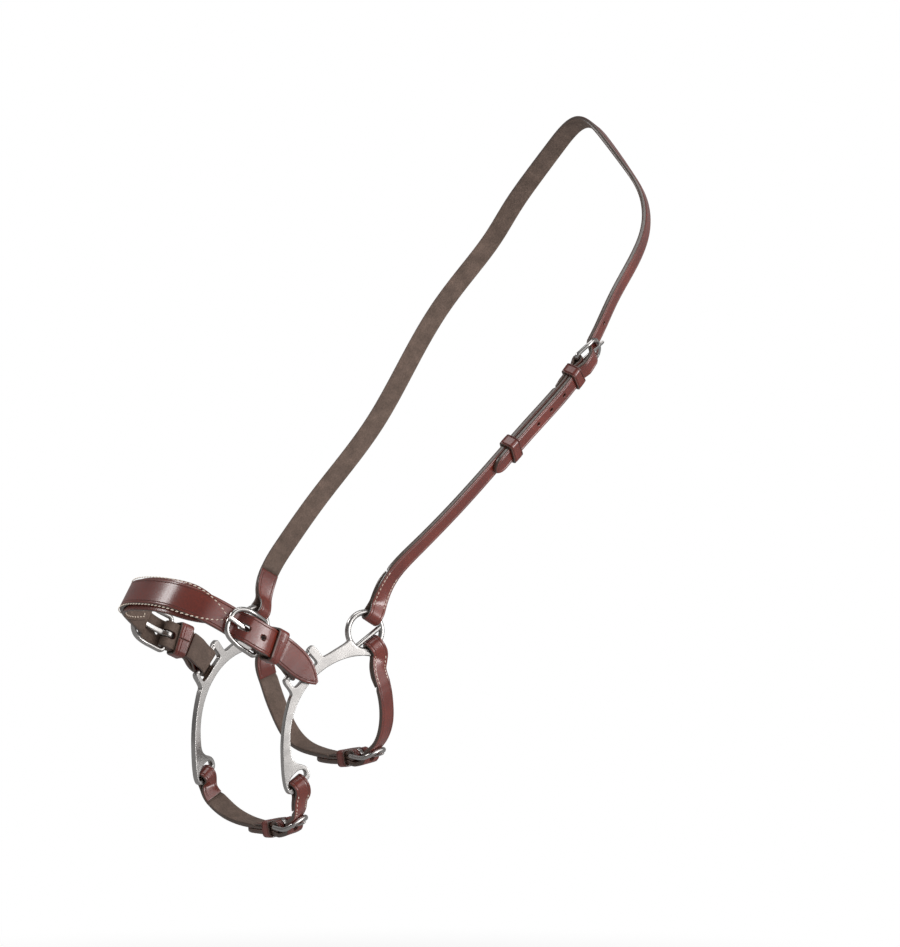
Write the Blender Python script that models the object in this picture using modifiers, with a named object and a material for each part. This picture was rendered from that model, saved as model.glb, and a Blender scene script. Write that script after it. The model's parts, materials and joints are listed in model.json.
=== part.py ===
"""Combination noseband: headpiece, two crescent cheek plates, nose, jaw and chin straps."""
import math

import bpy
import numpy as np
from mathutils import Matrix, Vector

# Every size below is in millimetres; the mesh is written in metres.
MM = 0.001

# leather
STRAP_WIDTH = 13.0
NOSE_BILLET_WIDTH = 18.0
NOSE_WIDTH = 24.0
STRAP_THICK = 3.4
CHEEK_BILLET_THICK = 3.0
UNDER_BILLET_THICK = 2.8
NOSE_THICK = 3.2
SKIVED = 1.9
LAP_END = 0.9
LINING_THICK = 1.6
KEEPER_THICK = 1.7
FLAT_THICK = 3.0
FLAT_BEVEL = 0.45
FOLD_WIDTH = 10.4
TIP_LENGTH = 9.0
TIP_BLUNT = 1.8
NOSE_TIP_LENGTH = 23.0
NOSE_TIP_BLUNT = 1.2
LINING_TIP_LENGTH = 34.0
LINING_TIP_BLUNT = 1.0
NOSE_WIDENING = 30.0
WAIST = 24.0
LAP_STEP = 2.5

# clearances
LAYER_GAP = 0.3
SEAT_GAP = 0.35
RIM_GAP = 0.5
SIDE_GAP = 0.9
TONGUE_GAP = 0.3
SLACK = 0.8
SMALL_DIVE = (11.3, 2.7)
LARGE_DIVE = (13.6, 5.0)

# steel
PLATE_THICK = 4.0
PLATE_EDGE = 0.7
RING_RADIUS = 12.1
RING_WIRE = 1.9
NOSE_BAR = 1.9
NOSE_BAR_LENGTH = 25.0
DIVIDER_WIRE = 1.4
CRESCENT_RADIUS = 51.7
CRESCENT_CENTRE = (-2.0, -67.1)
CRESCENT_TURN = (83.5, 185.2)
SMALL_WIRE = 1.4
LARGE_WIRE = 1.6
SMALL_FRAME = 18.2
LARGE_FRAME = 27.0
SMALL_TONGUE = 3.0
LARGE_TONGUE = 3.6
HOLE = 2.6
PITCH = 13.6
CHEEK_HOLES = (-52.2, -38.6, -25.0, 33.0)
NOSE_HOLE = 3.6
NOSE_PITCH = 13.2

# where the plates hang: ring centre, and the yaw that opens the pair towards the jaw
RING = Vector((-240.0, -58.0, -340.0))
PLATE_YAW = math.radians(10.8)

# derived once
LEVEL = (LAYER_GAP + SKIVED) / 2
TOP = LAYER_GAP / 2 + SKIVED
CENTRE = TOP - STRAP_THICK / 2
RIM_REACH = 2.7
RING_FOLD = RIM_REACH + RIM_GAP + SKIVED / 2
RING_FOLD_AT = 11.3


# Scene helpers
def clear_scene():
    for item in list(bpy.data.objects):
        bpy.data.objects.remove(item, do_unlink=True)


def new_collection(name):
    group = bpy.data.collections.new(name)
    bpy.context.scene.collection.children.link(group)
    return group


clear_scene()
PARTS = new_collection("noseband")
CUTTERS = new_collection("cutters")
MATERIALS = {}


def material(name, colour, metallic=0.0, roughness=0.5):
    if name not in MATERIALS:
        made = bpy.data.materials.new(name)
        made.use_nodes = True
        shader = made.node_tree.nodes["Principled BSDF"]
        shader.inputs["Base Color"].default_value = (*colour, 1.0)
        shader.inputs["Metallic"].default_value = metallic
        shader.inputs["Roughness"].default_value = roughness
        MATERIALS[name] = made
    return MATERIALS[name]


def leather(name):
    return material(name, (0.14, 0.042, 0.034), 0.0, 0.42)


def steel(name):
    return material(name, (0.72, 0.71, 0.69), 1.0, 0.18)


def to_mesh(item):
    """The evaluated form of an object, as a plain mesh."""
    graph = bpy.context.evaluated_depsgraph_get()
    graph.update()
    return bpy.data.meshes.new_from_object(item.evaluated_get(graph))


def scratch(name, data):
    item = bpy.data.objects.new(name, data)
    CUTTERS.objects.link(item)
    item.hide_render = True
    item.display_type = "WIRE"
    return item


def drop(item):
    bpy.data.objects.remove(item, do_unlink=True)


def keep(name, mesh, paint, origin=None):
    """A finished piece: its mesh is in millimetres in the object frame."""
    shift = Vector(origin) if origin is not None else Vector((0, 0, 0))
    mesh.transform(Matrix.Scale(MM, 4) @ Matrix.Translation(-shift))
    mesh.name = name
    mesh.materials.clear()
    mesh.materials.append(paint)
    item = bpy.data.objects.new(name, mesh)
    item.location = shift * MM
    PARTS.objects.link(item)
    return item


# Routes
class Route:
    """A smooth line over the head, with the outward direction given at each knot."""

    def __init__(self, knots, start, near_only=()):
        """The knots run from the near side to the middle; the off side mirrors them.
        start is the direction in which the strap leaves the hardware it is folded round."""
        points = [Vector(k[0]) for k in knots]
        faces = [Vector(k[1]).normalized() for k in knots]
        for i in reversed(range(len(knots) - 1)):
            if i not in near_only:
                points.append(Vector((points[i].x, -points[i].y, points[i].z)))
                faces.append(Vector((faces[i].x, -faces[i].y, faces[i].z)))
        chord = [0.0]
        for before, after in zip(points, points[1:]):
            chord.append(chord[-1] + (after - before).length)
        fine = np.linspace(0.0, chord[-1], round(chord[-1] / 0.5) + 1)
        end = Vector((-start.x, start.y, -start.z))
        still = Vector((0, 0, 0))
        line = self.through(np.array(chord), np.array(points), fine, start, end)
        face = self.through(np.array(chord), np.array(faces), fine, still, still)
        steps = np.linalg.norm(np.diff(line, axis=0), axis=1)
        self.s = np.concatenate(([0.0], np.cumsum(steps)))
        self.line = line
        ahead = np.gradient(line, axis=0)
        ahead /= np.linalg.norm(ahead, axis=1)[:, None]
        face -= (face * ahead).sum(axis=1)[:, None] * ahead
        face /= np.linalg.norm(face, axis=1)[:, None]
        self.ahead = ahead
        self.face = face
        self.side = np.cross(face, ahead)
        self.length = float(self.s[-1])

    @staticmethod
    def through(at, values, fine, start, end):
        """Cubic through the knots, with the slope given at both ends."""
        count = len(at)
        gap = np.diff(at)
        system = np.eye(count)
        right = np.zeros((count, 3))
        for i in range(1, count - 1):
            system[i, i - 1] = gap[i - 1]
            system[i, i] = 2 * (gap[i - 1] + gap[i])
            system[i, i + 1] = gap[i]
            rise = (values[i + 1] - values[i]) / gap[i]
            right[i] = 6 * (rise - (values[i] - values[i - 1]) / gap[i - 1])
        system[0, 0:2] = (2 * gap[0], gap[0])
        right[0] = 6 * ((values[1] - values[0]) / gap[0] - np.array(start))
        system[-1, -2:] = (gap[-1], 2 * gap[-1])
        right[-1] = 6 * (np.array(end) - (values[-1] - values[-2]) / gap[-1])
        bend = np.linalg.solve(system, right)
        i = np.clip(np.searchsorted(at, fine, side="right") - 1, 0, count - 2)
        g = gap[i][:, None]
        a = ((at[i + 1] - fine) / gap[i])[:, None]
        b = 1 - a
        cubic = ((a**3 - a) * bend[i] + (b**3 - b) * bend[i + 1]) * g**2 / 6
        return a * values[i] + b * values[i + 1] + cubic

    def pick(self, table, s):
        s = min(max(s, 0.0), self.length)
        return Vector([float(np.interp(s, self.s, table[:, k])) for k in range(3)])

    def frame(self, s):
        point = self.pick(self.line, s)
        ahead = self.pick(self.ahead, s).normalized()
        face = self.pick(self.face, s).normalized()
        side = self.pick(self.side, s).normalized()
        point += ahead * (s - min(max(s, 0.0), self.length))
        return point, ahead, side, face

    def put(self, s, w, t):
        point, _, side, face = self.frame(s)
        return point + side * w + face * t

    def nearest(self, target):
        gaps = np.linalg.norm(self.line - np.array(target), axis=1)
        return float(self.s[int(gaps.argmin())])


def plate_axes(hand):
    """Plate frame: back, up and face directions. hand is -1 on the near side."""
    back = Vector((math.cos(PLATE_YAW), hand * math.sin(PLATE_YAW), 0))
    up = Vector((0, 0, 1))
    return back, up, back.cross(up)


def on_plate(a, b, hand=-1):
    back, up, _ = plate_axes(hand)
    ring = Vector((RING.x, -hand * RING.y, RING.z))
    return ring + back * a + up * b


def polar(radius, degrees):
    turn = math.radians(degrees)
    return radius * math.cos(turn), radius * math.sin(turn)


OUT = tuple(plate_axes(-1)[2])
HEAD_TURN = 60.0
JAW_TURN = -54.5
HEAD_RIM = on_plate(*polar(RING_FOLD_AT, HEAD_TURN))
JAW_RIM = on_plate(*polar(RING_FOLD_AT, JAW_TURN))
NOSE_PIN = (-47.6, -20.6)
NOSE_TURN = 137.5
NOSE_SIT = (NOSE_PIN[0] - 0.68, NOSE_PIN[1] - 0.74)
EYE_PIN = (-47.5, -95.6)
EYE_TURN = 36.5


def square(turn):
    """The direction at `turn` degrees in the near plate, square to a bar."""
    back, up, _ = plate_axes(-1)
    x, y = polar(1.0, turn)
    return back * x + up * y


HEAD = Route(
    [
        (HEAD_RIM, OUT),
        (HEAD_RIM + square(HEAD_TURN) * 4.5, OUT),
        ((-229.3, -61.3, -317.0), (0.04, -0.98, -0.18)),
        ((-224.5, -63.2, -307.0), (0.14, -0.94, -0.30)),
        ((-206.3, -68.4, -287.3), (0.20, -0.89, -0.40)),
        ((-173.1, -75.4, -256.5), (0.21, -0.88, -0.42)),
        ((-119.5, -81.8, -205.8), (0.24, -0.88, -0.42)),
        ((-96.4, -86.2, -182.7), (0.27, -0.89, -0.37)),
        ((-81.7, -88.8, -164.8), (0.33, -0.89, -0.30)),
        ((-70.0, -89.6, -147.7), (0.38, -0.89, -0.26)),
        ((-53.9, -88.4, -123.3), (0.41, -0.87, -0.27)),
        ((-30.9, -84.3, -96.1), (0.47, -0.87, -0.17)),
        ((-15.2, -77.6, -74.0), (0.55, -0.83, 0.02)),
        ((-8.0, -67.0, -54.0), (0.58, -0.74, 0.33)),
        ((-5.2, -49.0, -34.8), (0.52, -0.61, 0.58)),
        ((-3.2, -25.5, -13.4), (0.44, -0.34, 0.83)),
        ((-2.2, 0.0, 1.2), (0.38, 0.0, 0.92)),
    ],
    square(HEAD_TURN),
    near_only=(7, 8, 9),
)
NOSE = Route(
    [
        (on_plate(*NOSE_SIT), OUT),
        (on_plate(*NOSE_SIT) + square(NOSE_TURN) * 13.0, OUT),
        ((-319.6, -49.9, -342.1), (-0.12, -0.99, 0.02)),
        ((-338.5, -46.5, -331.2), (-0.35, -0.92, 0.15)),
        ((-353.5, -39.0, -322.2), (-0.58, -0.74, 0.32)),
        ((-363.3, -26.0, -316.3), (-0.76, -0.42, 0.48)),
        ((-366.6, -11.0, -314.2), (-0.83, -0.16, 0.54)),
        ((-367.2, 0.0, -313.9), (-0.84, 0.0, 0.54)),
    ],
    square(NOSE_TURN),
)
JAW = Route(
    [
        (JAW_RIM, OUT),
        (JAW_RIM + square(JAW_TURN) * 5.5, OUT),
        ((-230.6, -59.7, -362.5), (0.12, -0.99, 0.03)),
        ((-227.3, -60.0, -374.3), (0.22, -0.97, -0.03)),
        ((-223.2, -58.5, -387.2), (0.28, -0.95, -0.13)),
        ((-220.1, -54.4, -399.6), (0.30, -0.86, -0.40)),
        ((-218.3, -47.1, -410.4), (0.32, -0.68, -0.65)),
        ((-217.4, -36.8, -417.2), (0.22, -0.44, -0.87)),
        ((-217.0, -20.0, -421.2), (0.12, -0.20, -0.97)),
        ((-216.4, 0.0, -422.8), (0.08, 0.0, -1.0)),
    ],
    square(JAW_TURN),
)
CHIN = Route(
    [
        (on_plate(*EYE_PIN), OUT),
        ((-284.5, -49.4, -441.4), (-0.05, -0.99, -0.10)),
        ((-283.8, -46.7, -447.0), (0.24, -0.89, -0.36)),
        ((-280.9, -42.4, -452.6), (0.42, -0.72, -0.55)),
        ((-278.6, -35.0, -457.8), (0.34, -0.54, -0.77)),
        ((-276.6, -25.0, -461.8), (0.22, -0.30, -0.93)),
        ((-275.2, -12.0, -464.2), (0.12, -0.12, -0.98)),
        ((-274.6, 0.0, -464.8), (0.08, 0.0, -1.0)),
    ],
    square(EYE_TURN - 90.0),
)


# Strap side views
def smooth(x):
    x = min(max(x, 0.0), 1.0)
    return x * x * (3 - 2 * x)


def steps(start, end, size):
    count = max(1, round(abs(end - start) / size))
    return [start + (end - start) * i / count for i in range(count + 1)]


def fold(at, way, radius, lap, thin=SKIVED):
    """Inside lap, round the hardware at `at`, out to the outer layer. way is +1 when
    the strap then runs towards larger s."""
    flat = (LAYER_GAP + thin) / 2
    ease = radius * 2.5
    side = [(at + way * lap, -LAYER_GAP / 2 - LAP_END / 2, LAP_END)]
    side += [(at + way * x, -flat, thin) for x in steps(lap - 6.0, ease, 8.0)[:-1]]
    for x in steps(ease, 0.0, 3.0):
        side.append((at + way * x, -flat - (radius - flat) * (1 - smooth(x / ease)), thin))
    for turn in steps(-90.0, 90.0, 36.0)[1:-1]:
        a = math.radians(turn)
        side.append((at - way * radius * math.cos(a), radius * math.sin(a), thin))
    for x in steps(0.0, ease, 3.0):
        side.append((at + way * x, flat + (radius - flat) * (1 - smooth(x / ease)), thin))
    return side


def profile(marks, stations):
    """Level and thickness eased between the marks (s, t, thickness)."""
    marks = sorted(marks)
    side = []
    for s in stations:
        after = next((i for i, m in enumerate(marks) if m[0] >= s), len(marks) - 1)
        before = max(after - 1, 0)
        a, b = marks[before], marks[after]
        x = smooth((s - a[0]) / (b[0] - a[0])) if b[0] > a[0] else 1.0
        side.append((s, a[1] + (b[1] - a[1]) * x, a[2] + (b[2] - a[2]) * x))
    return side


def tidy(side):
    """Leaves out stations that fall on the one before."""
    kept = [side[0]]
    for point in side[1:]:
        if math.dist(point[:2], kept[-1][:2]) > 0.3:
            kept.append(point)
    return kept


def lengths(side):
    run = [0.0]
    for before, after in zip(side, side[1:]):
        run.append(run[-1] + math.dist(before[:2], after[:2]))
    return run


def run_at(side, s, upper=True):
    """Length along the strap where it passes s, on the outer layer."""
    run = lengths(side)
    for i in range(len(side) - 1):
        low, high = side[i], side[i + 1]
        if min(low[0], high[0]) <= s <= max(low[0], high[0]) and low[0] != high[0]:
            if upper and (low[1] + high[1]) / 2 < -0.5:
                continue
            x = (s - low[0]) / (high[0] - low[0])
            return run[i] + (run[i + 1] - run[i]) * x
    raise ValueError("the strap does not pass here")


def turn_over(side, hardware):
    """Length along the strap at the middle of its fold round the hardware at s."""
    run = lengths(side)
    near = [i for i, p in enumerate(side) if abs(p[0] - hardware) < 6.0]
    near.sort(key=lambda i: abs(side[i][1]))
    return (run[near[0]] + run[near[1]]) / 2


# Leather
def bend(mesh, route, side=None):
    """Carries a flat piece (along, across, outwards) onto the route."""
    if side is not None:
        run = lengths(side)
        s = [p[0] for p in side]
        t = [p[1] for p in side]
        thick = [p[2] for p in side]
        ds = np.gradient(np.array(s), np.array(run))
        dt = np.gradient(np.array(t), np.array(run))
    for v in mesh.vertices:
        u, w, z = v.co
        if side is None:
            v.co = route.put(u, w, z)
            continue
        z *= float(np.interp(u, run, thick)) / FLAT_THICK
        along = Vector((float(np.interp(u, run, ds)), float(np.interp(u, run, dt))))
        along.normalize()
        here_s = float(np.interp(u, run, s)) - along.y * z
        here_t = float(np.interp(u, run, t)) + along.x * z
        v.co = route.put(here_s, w, here_t)
    mesh.update()


def slot(at, length, width):
    """Cutter for a round or long hole in a flat strap."""
    turn = math.radians(22.5)
    bpy.ops.mesh.primitive_cylinder_add(vertices=8, radius=width / 2 / math.cos(turn), depth=12)
    item = bpy.context.object
    item.data.transform(Matrix.Rotation(turn, 4, "Z"))
    stretch = max(length - width, 0.0) / 2
    for v in item.data.vertices:
        v.co.x += at + math.copysign(stretch, v.co.x)
    for group in list(item.users_collection):
        group.objects.unlink(item)
    CUTTERS.objects.link(item)
    item.hide_render = True
    item.display_type = "WIRE"
    return item


def strap(name, route, side, half, holes=(), origin=None):
    """half(u, total) is half the width; holes are (u, length, width)."""
    side = tidy(side)
    run = lengths(side)
    bpy.ops.mesh.primitive_grid_add(x_subdivisions=len(side) - 1, y_subdivisions=1, size=2)
    flat = bpy.context.object
    for v in flat.data.vertices:
        i = round((v.co.x + 1) / 2 * (len(side) - 1))
        v.co = (run[i], math.copysign(half(run[i], run[-1]), v.co.y), 0)
    body = flat.modifiers.new("thickness", "SOLIDIFY")
    body.thickness = FLAT_THICK
    body.offset = 0.0
    edge = flat.modifiers.new("edge", "BEVEL")
    edge.width = FLAT_BEVEL
    edge.segments = 1
    edge.limit_method = "ANGLE"
    edge.angle_limit = math.radians(60)
    cutters = [slot(*hole) for hole in holes]
    for cutter in cutters:
        cut = flat.modifiers.new("hole", "BOOLEAN")
        cut.operation = "DIFFERENCE"
        cut.solver = "EXACT"
        cut.object = cutter
    mesh = to_mesh(flat)
    bend(mesh, route, side)
    for cutter in cutters:
        drop(cutter)
    drop(flat)
    return keep(name, mesh, leather(name + "_leather"), origin)


def straight(width):
    return lambda u, total: width / 2


def waisted(width, narrow, folds):
    """Full width, eased to the narrow width round each fold (given as length along)."""

    def half(u, total):
        value = 1.0
        for at in folds:
            value = min(value, smooth((abs(u - at) - 5.0) / WAIST))
        return (narrow + (width - narrow) * value) / 2

    return half


def pointed(base, width, taper, blunt, at_end=True, at_start=False):
    """A point on the free end of a billet, between two arcs of radius `sweep`."""

    reach = width / 2 - blunt
    sweep = (taper**2 + reach**2) / (2 * reach)

    def point(x):
        left = taper - min(max(x, 0.0), taper)
        return blunt + math.sqrt(sweep**2 - left**2) - (sweep - reach)

    def half(u, total):
        value = base(u, total)
        if at_end:
            value = min(value, point(total - u))
        if at_start:
            value = min(value, point(u))
        return value

    return half


def outline_curve(name, loops, depth):
    """Closed 2-D outlines, filled and given depth to both sides of their plane."""
    data = bpy.data.curves.new(name, "CURVE")
    data.dimensions = "2D"
    data.fill_mode = "BOTH"
    data.extrude = depth / 2
    for loop in loops:
        spline = data.splines.new("POLY")
        spline.points.add(len(loop) - 1)
        for point, place in zip(spline.points, loop):
            point.co = (place[0], place[1], 0.0, 1.0)
        spline.use_cyclic_u = True
    item = scratch(name, data)
    mesh = to_mesh(item)
    drop(item)
    solid = scratch(name + "_solid", mesh)
    weld = solid.modifiers.new("weld", "WELD")
    weld.merge_threshold = 0.0001
    return solid


def rounded(half_w, low, high, radius, corner=2):
    """Corner-rounded rectangle, anticlockwise."""
    points = []
    for cx, cy, start in (
        (half_w - radius, high - radius, 0),
        (-half_w + radius, high - radius, 90),
        (-half_w + radius, low + radius, 180),
        (half_w - radius, low + radius, 270),
    ):
        for k in range(corner + 1):
            x, y = polar(radius, start + 90 * k / corner)
            points.append((cx + x, cy + y))
    return points


def keeper(name, route, s, half_w, low, high, width, origin=None):
    """A leather loop round the layers between low and high."""
    inner = rounded(half_w, low, high, 1.0)
    outer = rounded(half_w + KEEPER_THICK, low - KEEPER_THICK, high + KEEPER_THICK, 2.2)
    solid = outline_curve(name + "_band", [outer, inner], width)
    edge = solid.modifiers.new("edge", "BEVEL")
    edge.width = 0.35
    edge.segments = 1
    edge.limit_method = "ANGLE"
    edge.angle_limit = math.radians(60)
    mesh = to_mesh(solid)
    drop(solid)
    mesh.transform(Matrix(((0, 0, 1, s), (1, 0, 0, 0), (0, 1, 0, 0), (0, 0, 0, 1))))
    bend(mesh, route)
    return keep(name, mesh, leather(name + "_leather"), origin)


# Buckles
class Buckle:
    """One buckle on a route: heel bar at s, front arc `way` * frame beyond it."""

    def __init__(self, route, s, way, strap_width, billet, wire, frame, tongue):
        self.route = route
        self.s = s
        self.way = way
        self.half = strap_width / 2 + SIDE_GAP + wire
        self.billet = billet
        self.wire = wire
        self.frame = frame
        self.tongue = tongue
        self.fold_radius = wire + SEAT_GAP + SKIVED / 2
        self.over = self.fold_radius + SKIVED / 2 + SEAT_GAP + billet / 2 + SLACK
        self.rest = TOP + SEAT_GAP + billet / 2
        self.rise = CENTRE + billet / 2 + SEAT_GAP + wire
        small = frame == SMALL_FRAME
        self.tongue_thick = 1.6 if small else 1.9
        self.dive = SMALL_DIVE if small else LARGE_DIVE

    def lift(self, x):
        """Height of the side wires at distance x from the heel bar."""
        return self.rise * smooth(x / (self.frame * 0.8))

    def outline(self):
        """Centre line of the frame wire: straight heel bar, straight sides, squarish front."""
        corner = self.wire * 1.8
        mid = self.frame * 0.42
        one = []
        for turn in (0, 30, 60, 90):
            x, w = polar(corner, turn)
            one.append((corner - x, self.half - corner + w))
        for turn in (0, 20, 36, 52, 68, 82):
            x, w = polar(1.0, 90 - turn)
            one.append((mid + (self.frame - mid) * x**0.72, self.half * w**0.72))
        return one + [(x, -w) for x, w in reversed(one)]

    def build_frame(self, name, origin=None):
        data = bpy.data.curves.new(name, "CURVE")
        data.dimensions = "3D"
        data.bevel_depth = self.wire
        data.bevel_resolution = 2
        spline = data.splines.new("POLY")
        places = self.outline()
        spline.points.add(len(places) - 1)
        for point, (x, w) in zip(spline.points, places):
            spot = self.route.put(self.s + self.way * x, w, self.lift(x))
            point.co = (*spot, 1.0)
        spline.use_cyclic_u = True
        item = scratch(name + "_wire", data)
        mesh = to_mesh(item)
        drop(item)
        return keep(name, mesh, steel(name + "_steel"), origin)

    def tongue_line(self, x):
        """Middle of the tongue at distance x from the heel bar."""
        root = self.wire + TONGUE_GAP + self.tongue_thick * 0.85
        end = self.rise + (self.wire + TONGUE_GAP + self.tongue_thick / 2) * 1.08
        return 0.5 + (end - 0.5) * (x - root) / (self.frame - root)

    def build_tongue(self, name):
        thick = self.tongue_thick / 2
        inner = self.wire + TONGUE_GAP
        outer = inner + self.tongue_thick * 0.85
        reach = self.frame + self.wire + 0.8
        hole = [polar(inner, 360 * k / 12) for k in range(12)]
        ring = [polar(outer, turn) for turn in steps(44.0, 346.0, 27.0)]
        lower = [(x, self.tongue_line(x) - thick) for x in steps(outer + 1.0, reach, 6.0)]
        upper = [(x, self.tongue_line(x) + thick) for x in steps(outer + 1.0, reach - 0.8, 6.0)]
        loop = ring + lower + list(reversed(upper))
        solid = outline_curve(name + "_side", [loop, hole], self.tongue)
        edge = solid.modifiers.new("edge", "BEVEL")
        edge.width = 0.25
        edge.segments = 1
        edge.limit_method = "ANGLE"
        edge.angle_limit = math.radians(60)
        mesh = to_mesh(solid)
        drop(solid)
        turn = Matrix(((self.way, 0, 0, self.s), (0, 0, -self.way, 0), (0, 1, 0, 0), (0, 0, 0, 1)))
        mesh.transform(turn)
        bend(mesh, self.route)
        return keep(name, mesh, steel(name + "_steel"), self.route.put(self.s, 0, 0))

    def marks(self):
        """Levels of the billet where it runs through this buckle."""
        way, s, thick = self.way, self.s, self.billet
        return [
            (s + way * (self.frame + 4.0), CENTRE, thick),
            (s + way * (self.frame - self.dive[1]), CENTRE, thick),
            (s + way * (self.frame - self.dive[0]), self.over, thick),
            (s, self.over, thick),
            (s - way * self.fold_radius * 2.5, self.rest, thick),
        ]

    def billet_hole(self, side):
        """The hole the tongue stands in: (u, length, width) along this billet."""
        level = sorted((p[0], p[1]) for p in side)
        at = [p[0] for p in level]
        heights = [p[1] for p in level]
        reach = (self.billet + self.tongue_thick) / 2 * 1.12
        inside = []
        for x in steps(2.0, self.frame, 0.2):
            height = float(np.interp(self.s + self.way * x, at, heights))
            if abs(height - self.tongue_line(x)) < reach:
                inside.append(x)
        ends = [run_at(side, self.s + self.way * x, False) for x in (inside[0], inside[-1])]
        middle = sum(ends) / 2
        return middle, abs(ends[1] - ends[0]) + 1.9, self.tongue + 0.9

    def fold_slot(self, side):
        """The slot in the fold that lets the tongue reach the heel bar."""
        root = self.wire + TONGUE_GAP + self.tongue_thick * 0.85
        length = self.fold_radius * math.pi + 2 * root + self.tongue
        return turn_over(side, self.s), length, self.tongue + 1.0


# Cheek plates
def arc(centre, radius, start, end, count):
    points = []
    for k in range(count + 1):
        x, y = polar(radius, start + (end - start) * k / count)
        points.append((centre[0] + x, centre[1] + y))
    return points


def plate_outline():
    """Crescent, nose-bar horns and chin eye, in the plate's own plane from the ring centre."""
    inner = arc(CRESCENT_CENTRE, CRESCENT_RADIUS, *CRESCENT_TURN, 16)
    eye = [
        (-52.8, -77.2),
        (-51.3, -80.3),
        (-48.7, -82.1),
        (-45.6, -82.9),
        (-42.9, -84.0),
        (-41.0, -86.0),
        (-40.0, -88.6),
        (-40.2, -91.0),
        (-41.8, -93.0),
        (-50.4, -100.6),
        (-52.6, -101.6),
        (-55.0, -100.6),
        (-56.8, -97.6),
        (-57.8, -93.5),
        (-58.6, -87.5),
    ]
    front = [
        (-59.1, -78.5),
        (-59.2, -70.0),
        (-58.4, -60.0),
        (-56.6, -50.5),
        (-54.2, -42.2),
        (-52.8, -38.8),
        (-54.2, -36.0),
        (-57.2, -32.2),
        (-57.8, -29.8),
        (-56.6, -28.7),
        (-54.6, -29.6),
        (-53.0, -32.2),
        (-51.2, -34.0),
        (-49.0, -33.6),
        (-45.4, -30.0),
        (-41.2, -25.4),
        (-36.6, -21.0),
        (-35.2, -18.6),
        (-39.9, -13.6),
        (-41.2, -11.0),
        (-38.4, -8.4),
        (-36.4, -8.9),
        (-31.0, -14.6),
        (-28.6, -14.9),
        (-22.0, -11.6),
        (-14.6, -7.6),
        (-10.5, -5.0),
    ]
    shoulder = [(-8.0, -9.2), (0.0, -12.2), (3.0, -12.6)]
    return inner + eye + front + shoulder


def eye_outline():
    """Opening of the chin eye: straight along its lower bar."""
    return [
        (-53.5, -98.3),
        (-43.4, -90.3),
        (-42.8, -88.8),
        (-43.4, -87.1),
        (-45.0, -86.2),
        (-48.0, -86.7),
        (-51.4, -89.2),
        (-54.2, -92.8),
        (-55.2, -96.2),
        (-54.6, -98.1),
    ]


def rod(start, end, radius, sides=12, depth=0.0):
    """A round bar in the plate's plane, as a cutter-side object."""
    start, end = Vector((*start, depth)), Vector((*end, depth))
    ahead = end - start
    bpy.ops.mesh.primitive_cylinder_add(vertices=sides, radius=radius, depth=ahead.length)
    item = bpy.context.object
    turn = ahead.to_track_quat("Z", "Y").to_matrix().to_4x4()
    item.data.transform(Matrix.Translation((start + end) / 2) @ turn)
    for group in list(item.users_collection):
        group.objects.unlink(item)
    CUTTERS.objects.link(item)
    item.hide_render = True
    item.display_type = "WIRE"
    return item


def build_plate(name, hand):
    body = outline_curve(name + "_outline", [plate_outline(), eye_outline()], PLATE_THICK)
    edge = body.modifiers.new("edge", "BEVEL")
    edge.width = PLATE_EDGE
    edge.segments = 1
    edge.limit_method = "ANGLE"
    edge.angle_limit = math.radians(60)
    ring_bore = RING_RADIUS - RING_WIRE * 0.6
    bpy.ops.mesh.primitive_cylinder_add(vertices=28, radius=ring_bore, depth=12)
    bore = bpy.context.object
    bpy.ops.mesh.primitive_torus_add(
        major_radius=RING_RADIUS, minor_radius=RING_WIRE, major_segments=28, minor_segments=8
    )
    ring = bpy.context.object
    for item in (bore, ring):
        for group in list(item.users_collection):
            group.objects.unlink(item)
        CUTTERS.objects.link(item)
        item.hide_render = True
        item.display_type = "WIRE"
    bar_turn = NOSE_TURN - 90.0
    along = polar(NOSE_BAR_LENGTH / 2, bar_turn)
    nose_bar = rod(
        (NOSE_PIN[0] - along[0], NOSE_PIN[1] - along[1]),
        (NOSE_PIN[0] + along[0], NOSE_PIN[1] + along[1]),
        NOSE_BAR,
    )
    divider = rod(polar(RING_RADIUS - 0.4, -123), polar(RING_RADIUS - 0.4, 14), DIVIDER_WIRE)
    notch = rod((-38.0, -14.2), (-35.2, -11.4), 0.8, 8, PLATE_THICK / 2)
    for cutter, how in (
        (bore, "DIFFERENCE"),
        (ring, "UNION"),
        (nose_bar, "UNION"),
        (divider, "UNION"),
        (notch, "DIFFERENCE"),
    ):
        step = body.modifiers.new("step", "BOOLEAN")
        step.operation = how
        step.solver = "EXACT"
        step.object = cutter
    mesh = to_mesh(body)
    for item in (bore, ring, nose_bar, divider, notch, body):
        drop(item)
    back, up, face = plate_axes(hand)
    ring_at = Vector((RING.x, -hand * RING.y, RING.z))
    place = Matrix((back, up, face)).transposed().to_4x4()
    place.translation = ring_at
    mesh.transform(place)
    return keep(name, mesh, steel(name + "_steel"), ring_at)


# Pieces
RING_AXIS = Vector((RING.x, 0, RING.z))
EYE_AXIS = Vector((on_plate(*EYE_PIN).x, 0, on_plate(*EYE_PIN).z))
CHEEK_BUCKLE_AT = HEAD.nearest((-83.0, -88.0, -164.8)) - 3.0
RUNNER_AT = HEAD.nearest((-136.4, -81.0, -223.8))
CHEEK_TIP_AT = HEAD.nearest((-149.0, -79.5, -240.0))
RING_LAP = 28.0
JAW_LAP = 26.0
CHIN_LAP = 16.0
BUCKLE_LAP = 25.0
JAW_TIP_REACH = 42.0
CHIN_TIP_REACH = 36.0
KEEPER_WIDTH = 7.5
NOSE_KEEPER_WIDTH = 8.6
KEEPER_FROM_BAR = 10.0
NOSE_BAR_FOLD = NOSE_BAR + SEAT_GAP + SKIVED / 2
NOSE_BUCKLE_AT = 35.0
NOSE_KEEPER_AT = 24.2
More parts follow.
